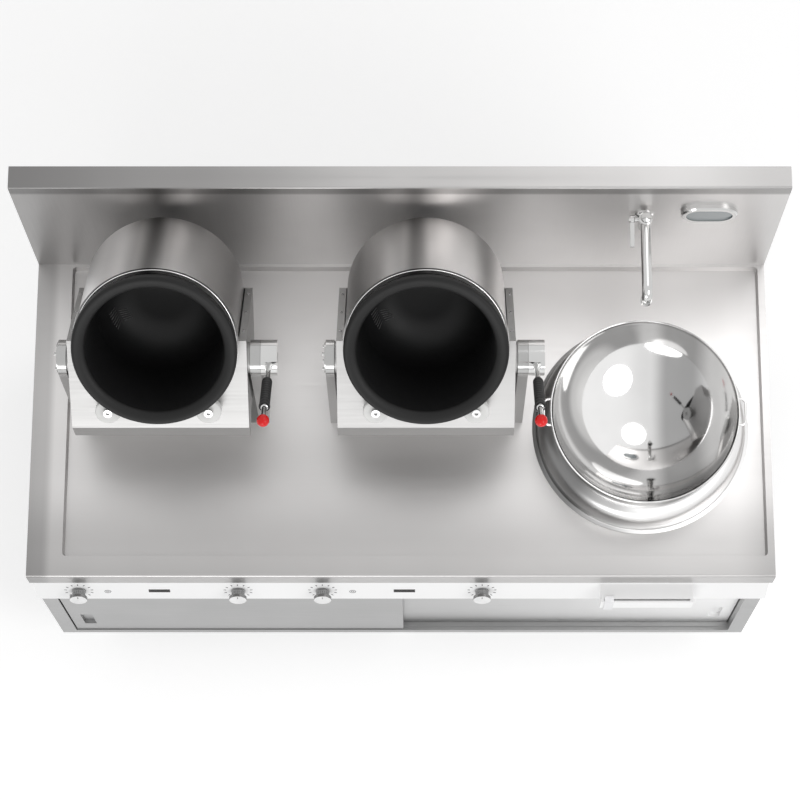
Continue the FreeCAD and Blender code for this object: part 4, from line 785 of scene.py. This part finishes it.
# 1 for rays that the camera, metal or glass sees
def seenRays(nodes, links):
    path = nodes.new("ShaderNodeLightPath")
    value = path.outputs["Is Camera Ray"]
    for ray in ("Is Glossy Ray", "Is Transmission Ray"):
        either = nodes.new("ShaderNodeMath")
        either.operation = "MAXIMUM"
        links.new(value, either.inputs[0])
        links.new(path.outputs[ray], either.inputs[1])
        value = either.outputs[0]
    return value


stageForm = {"size": 40, "below": 0.001, "colour": (0.8, 0.8, 0.8), "glow": (0.45, 0.45, 0.45, 1.0)}


def makeFloor():
    f = stageForm
    deselectAll()
    bpy.ops.mesh.primitive_plane_add(size=f["size"], location=(0, 0, -f["below"]))
    floor = bpy.context.object
    floor.name = "floor"
    material, nodes, links, shader = newMaterial("floorPale")
    setSockets(shader, colour=f["colour"], roughness=0.9, specular=0.1)
    links.new(seenRays(nodes, links), shader.inputs["Emission Strength"])
    shader.inputs["Emission Color"].default_value = f["glow"]
    floor.data.materials.append(material)


def makeWorld():
    world = bpy.data.worlds.new("studio")
    world.use_nodes = True
    bpy.context.scene.world = world
    nodes = world.node_tree.nodes
    links = world.node_tree.links
    background = nodes["Background"]
    shade = nodes.new("ShaderNodeMapRange")
    shade.inputs["To Min"].default_value = worldLight["fill"]
    shade.inputs["To Max"].default_value = 1.0
    links.new(seenRays(nodes, links), shade.inputs["Value"])
    links.new(shade.outputs["Result"], background.inputs["Strength"])
    background.inputs["Color"].default_value = (1.0, 1.0, 1.0, 1.0)


def areaLight(name, place, target, size, power):
    light = bpy.data.lights.new(name, "AREA")
    light.shape = "ELLIPSE"
    light.size = size[0]
    light.size_y = size[1]
    light.energy = power
    lamp = bpy.data.objects.new(name, light)
    lamp.location = place
    lamp.rotation_euler = (Vector(target) - Vector(place)).to_track_quat("-Z", "Y").to_euler()
    bpy.context.collection.objects.link(lamp)


worldLight = {"fill": 0.55}
lamps = {
    "keyLamp": {"place": (2.6, -2.2, 3.6), "target": (0.2, 0.1, 0.9), "size": (2.4, 2.4), "power": 42},
    "topLamp": {"place": (1.4, 1.6, 4.4), "target": (0.3, 0, 0.9), "size": (1.8, 1.8), "power": 12},
    "frontLamp": {"place": (-0.8, -4.2, 1.7), "target": (0, 0, 0.8), "size": (3.0, 1.4), "power": 46},
}
makeFloor()
makeWorld()
for lampName, lamp in lamps.items():
    areaLight(lampName, lamp["place"], lamp["target"], lamp["size"], lamp["power"])

viewCamera = {"place": (0.0453, -1.8104, 7.1356), "tilt": 16.313, "focal": 121.49, "sensor": 36,
              "shift": -0.0246}
cameraData = bpy.data.cameras.new("camera")
cameraData.sensor_width = viewCamera["sensor"]
cameraData.lens = viewCamera["focal"]
cameraData.shift_x = viewCamera["shift"]
cameraObject = bpy.data.objects.new("camera", cameraData)
cameraObject.location = viewCamera["place"]
cameraObject.rotation_euler = (math.radians(viewCamera["tilt"]), 0, 0)
bpy.context.collection.objects.link(cameraObject)
bpy.context.scene.camera = cameraObject
bpy.context.scene.view_settings.view_transform = "Standard"
print("stage, lamps and camera ready")
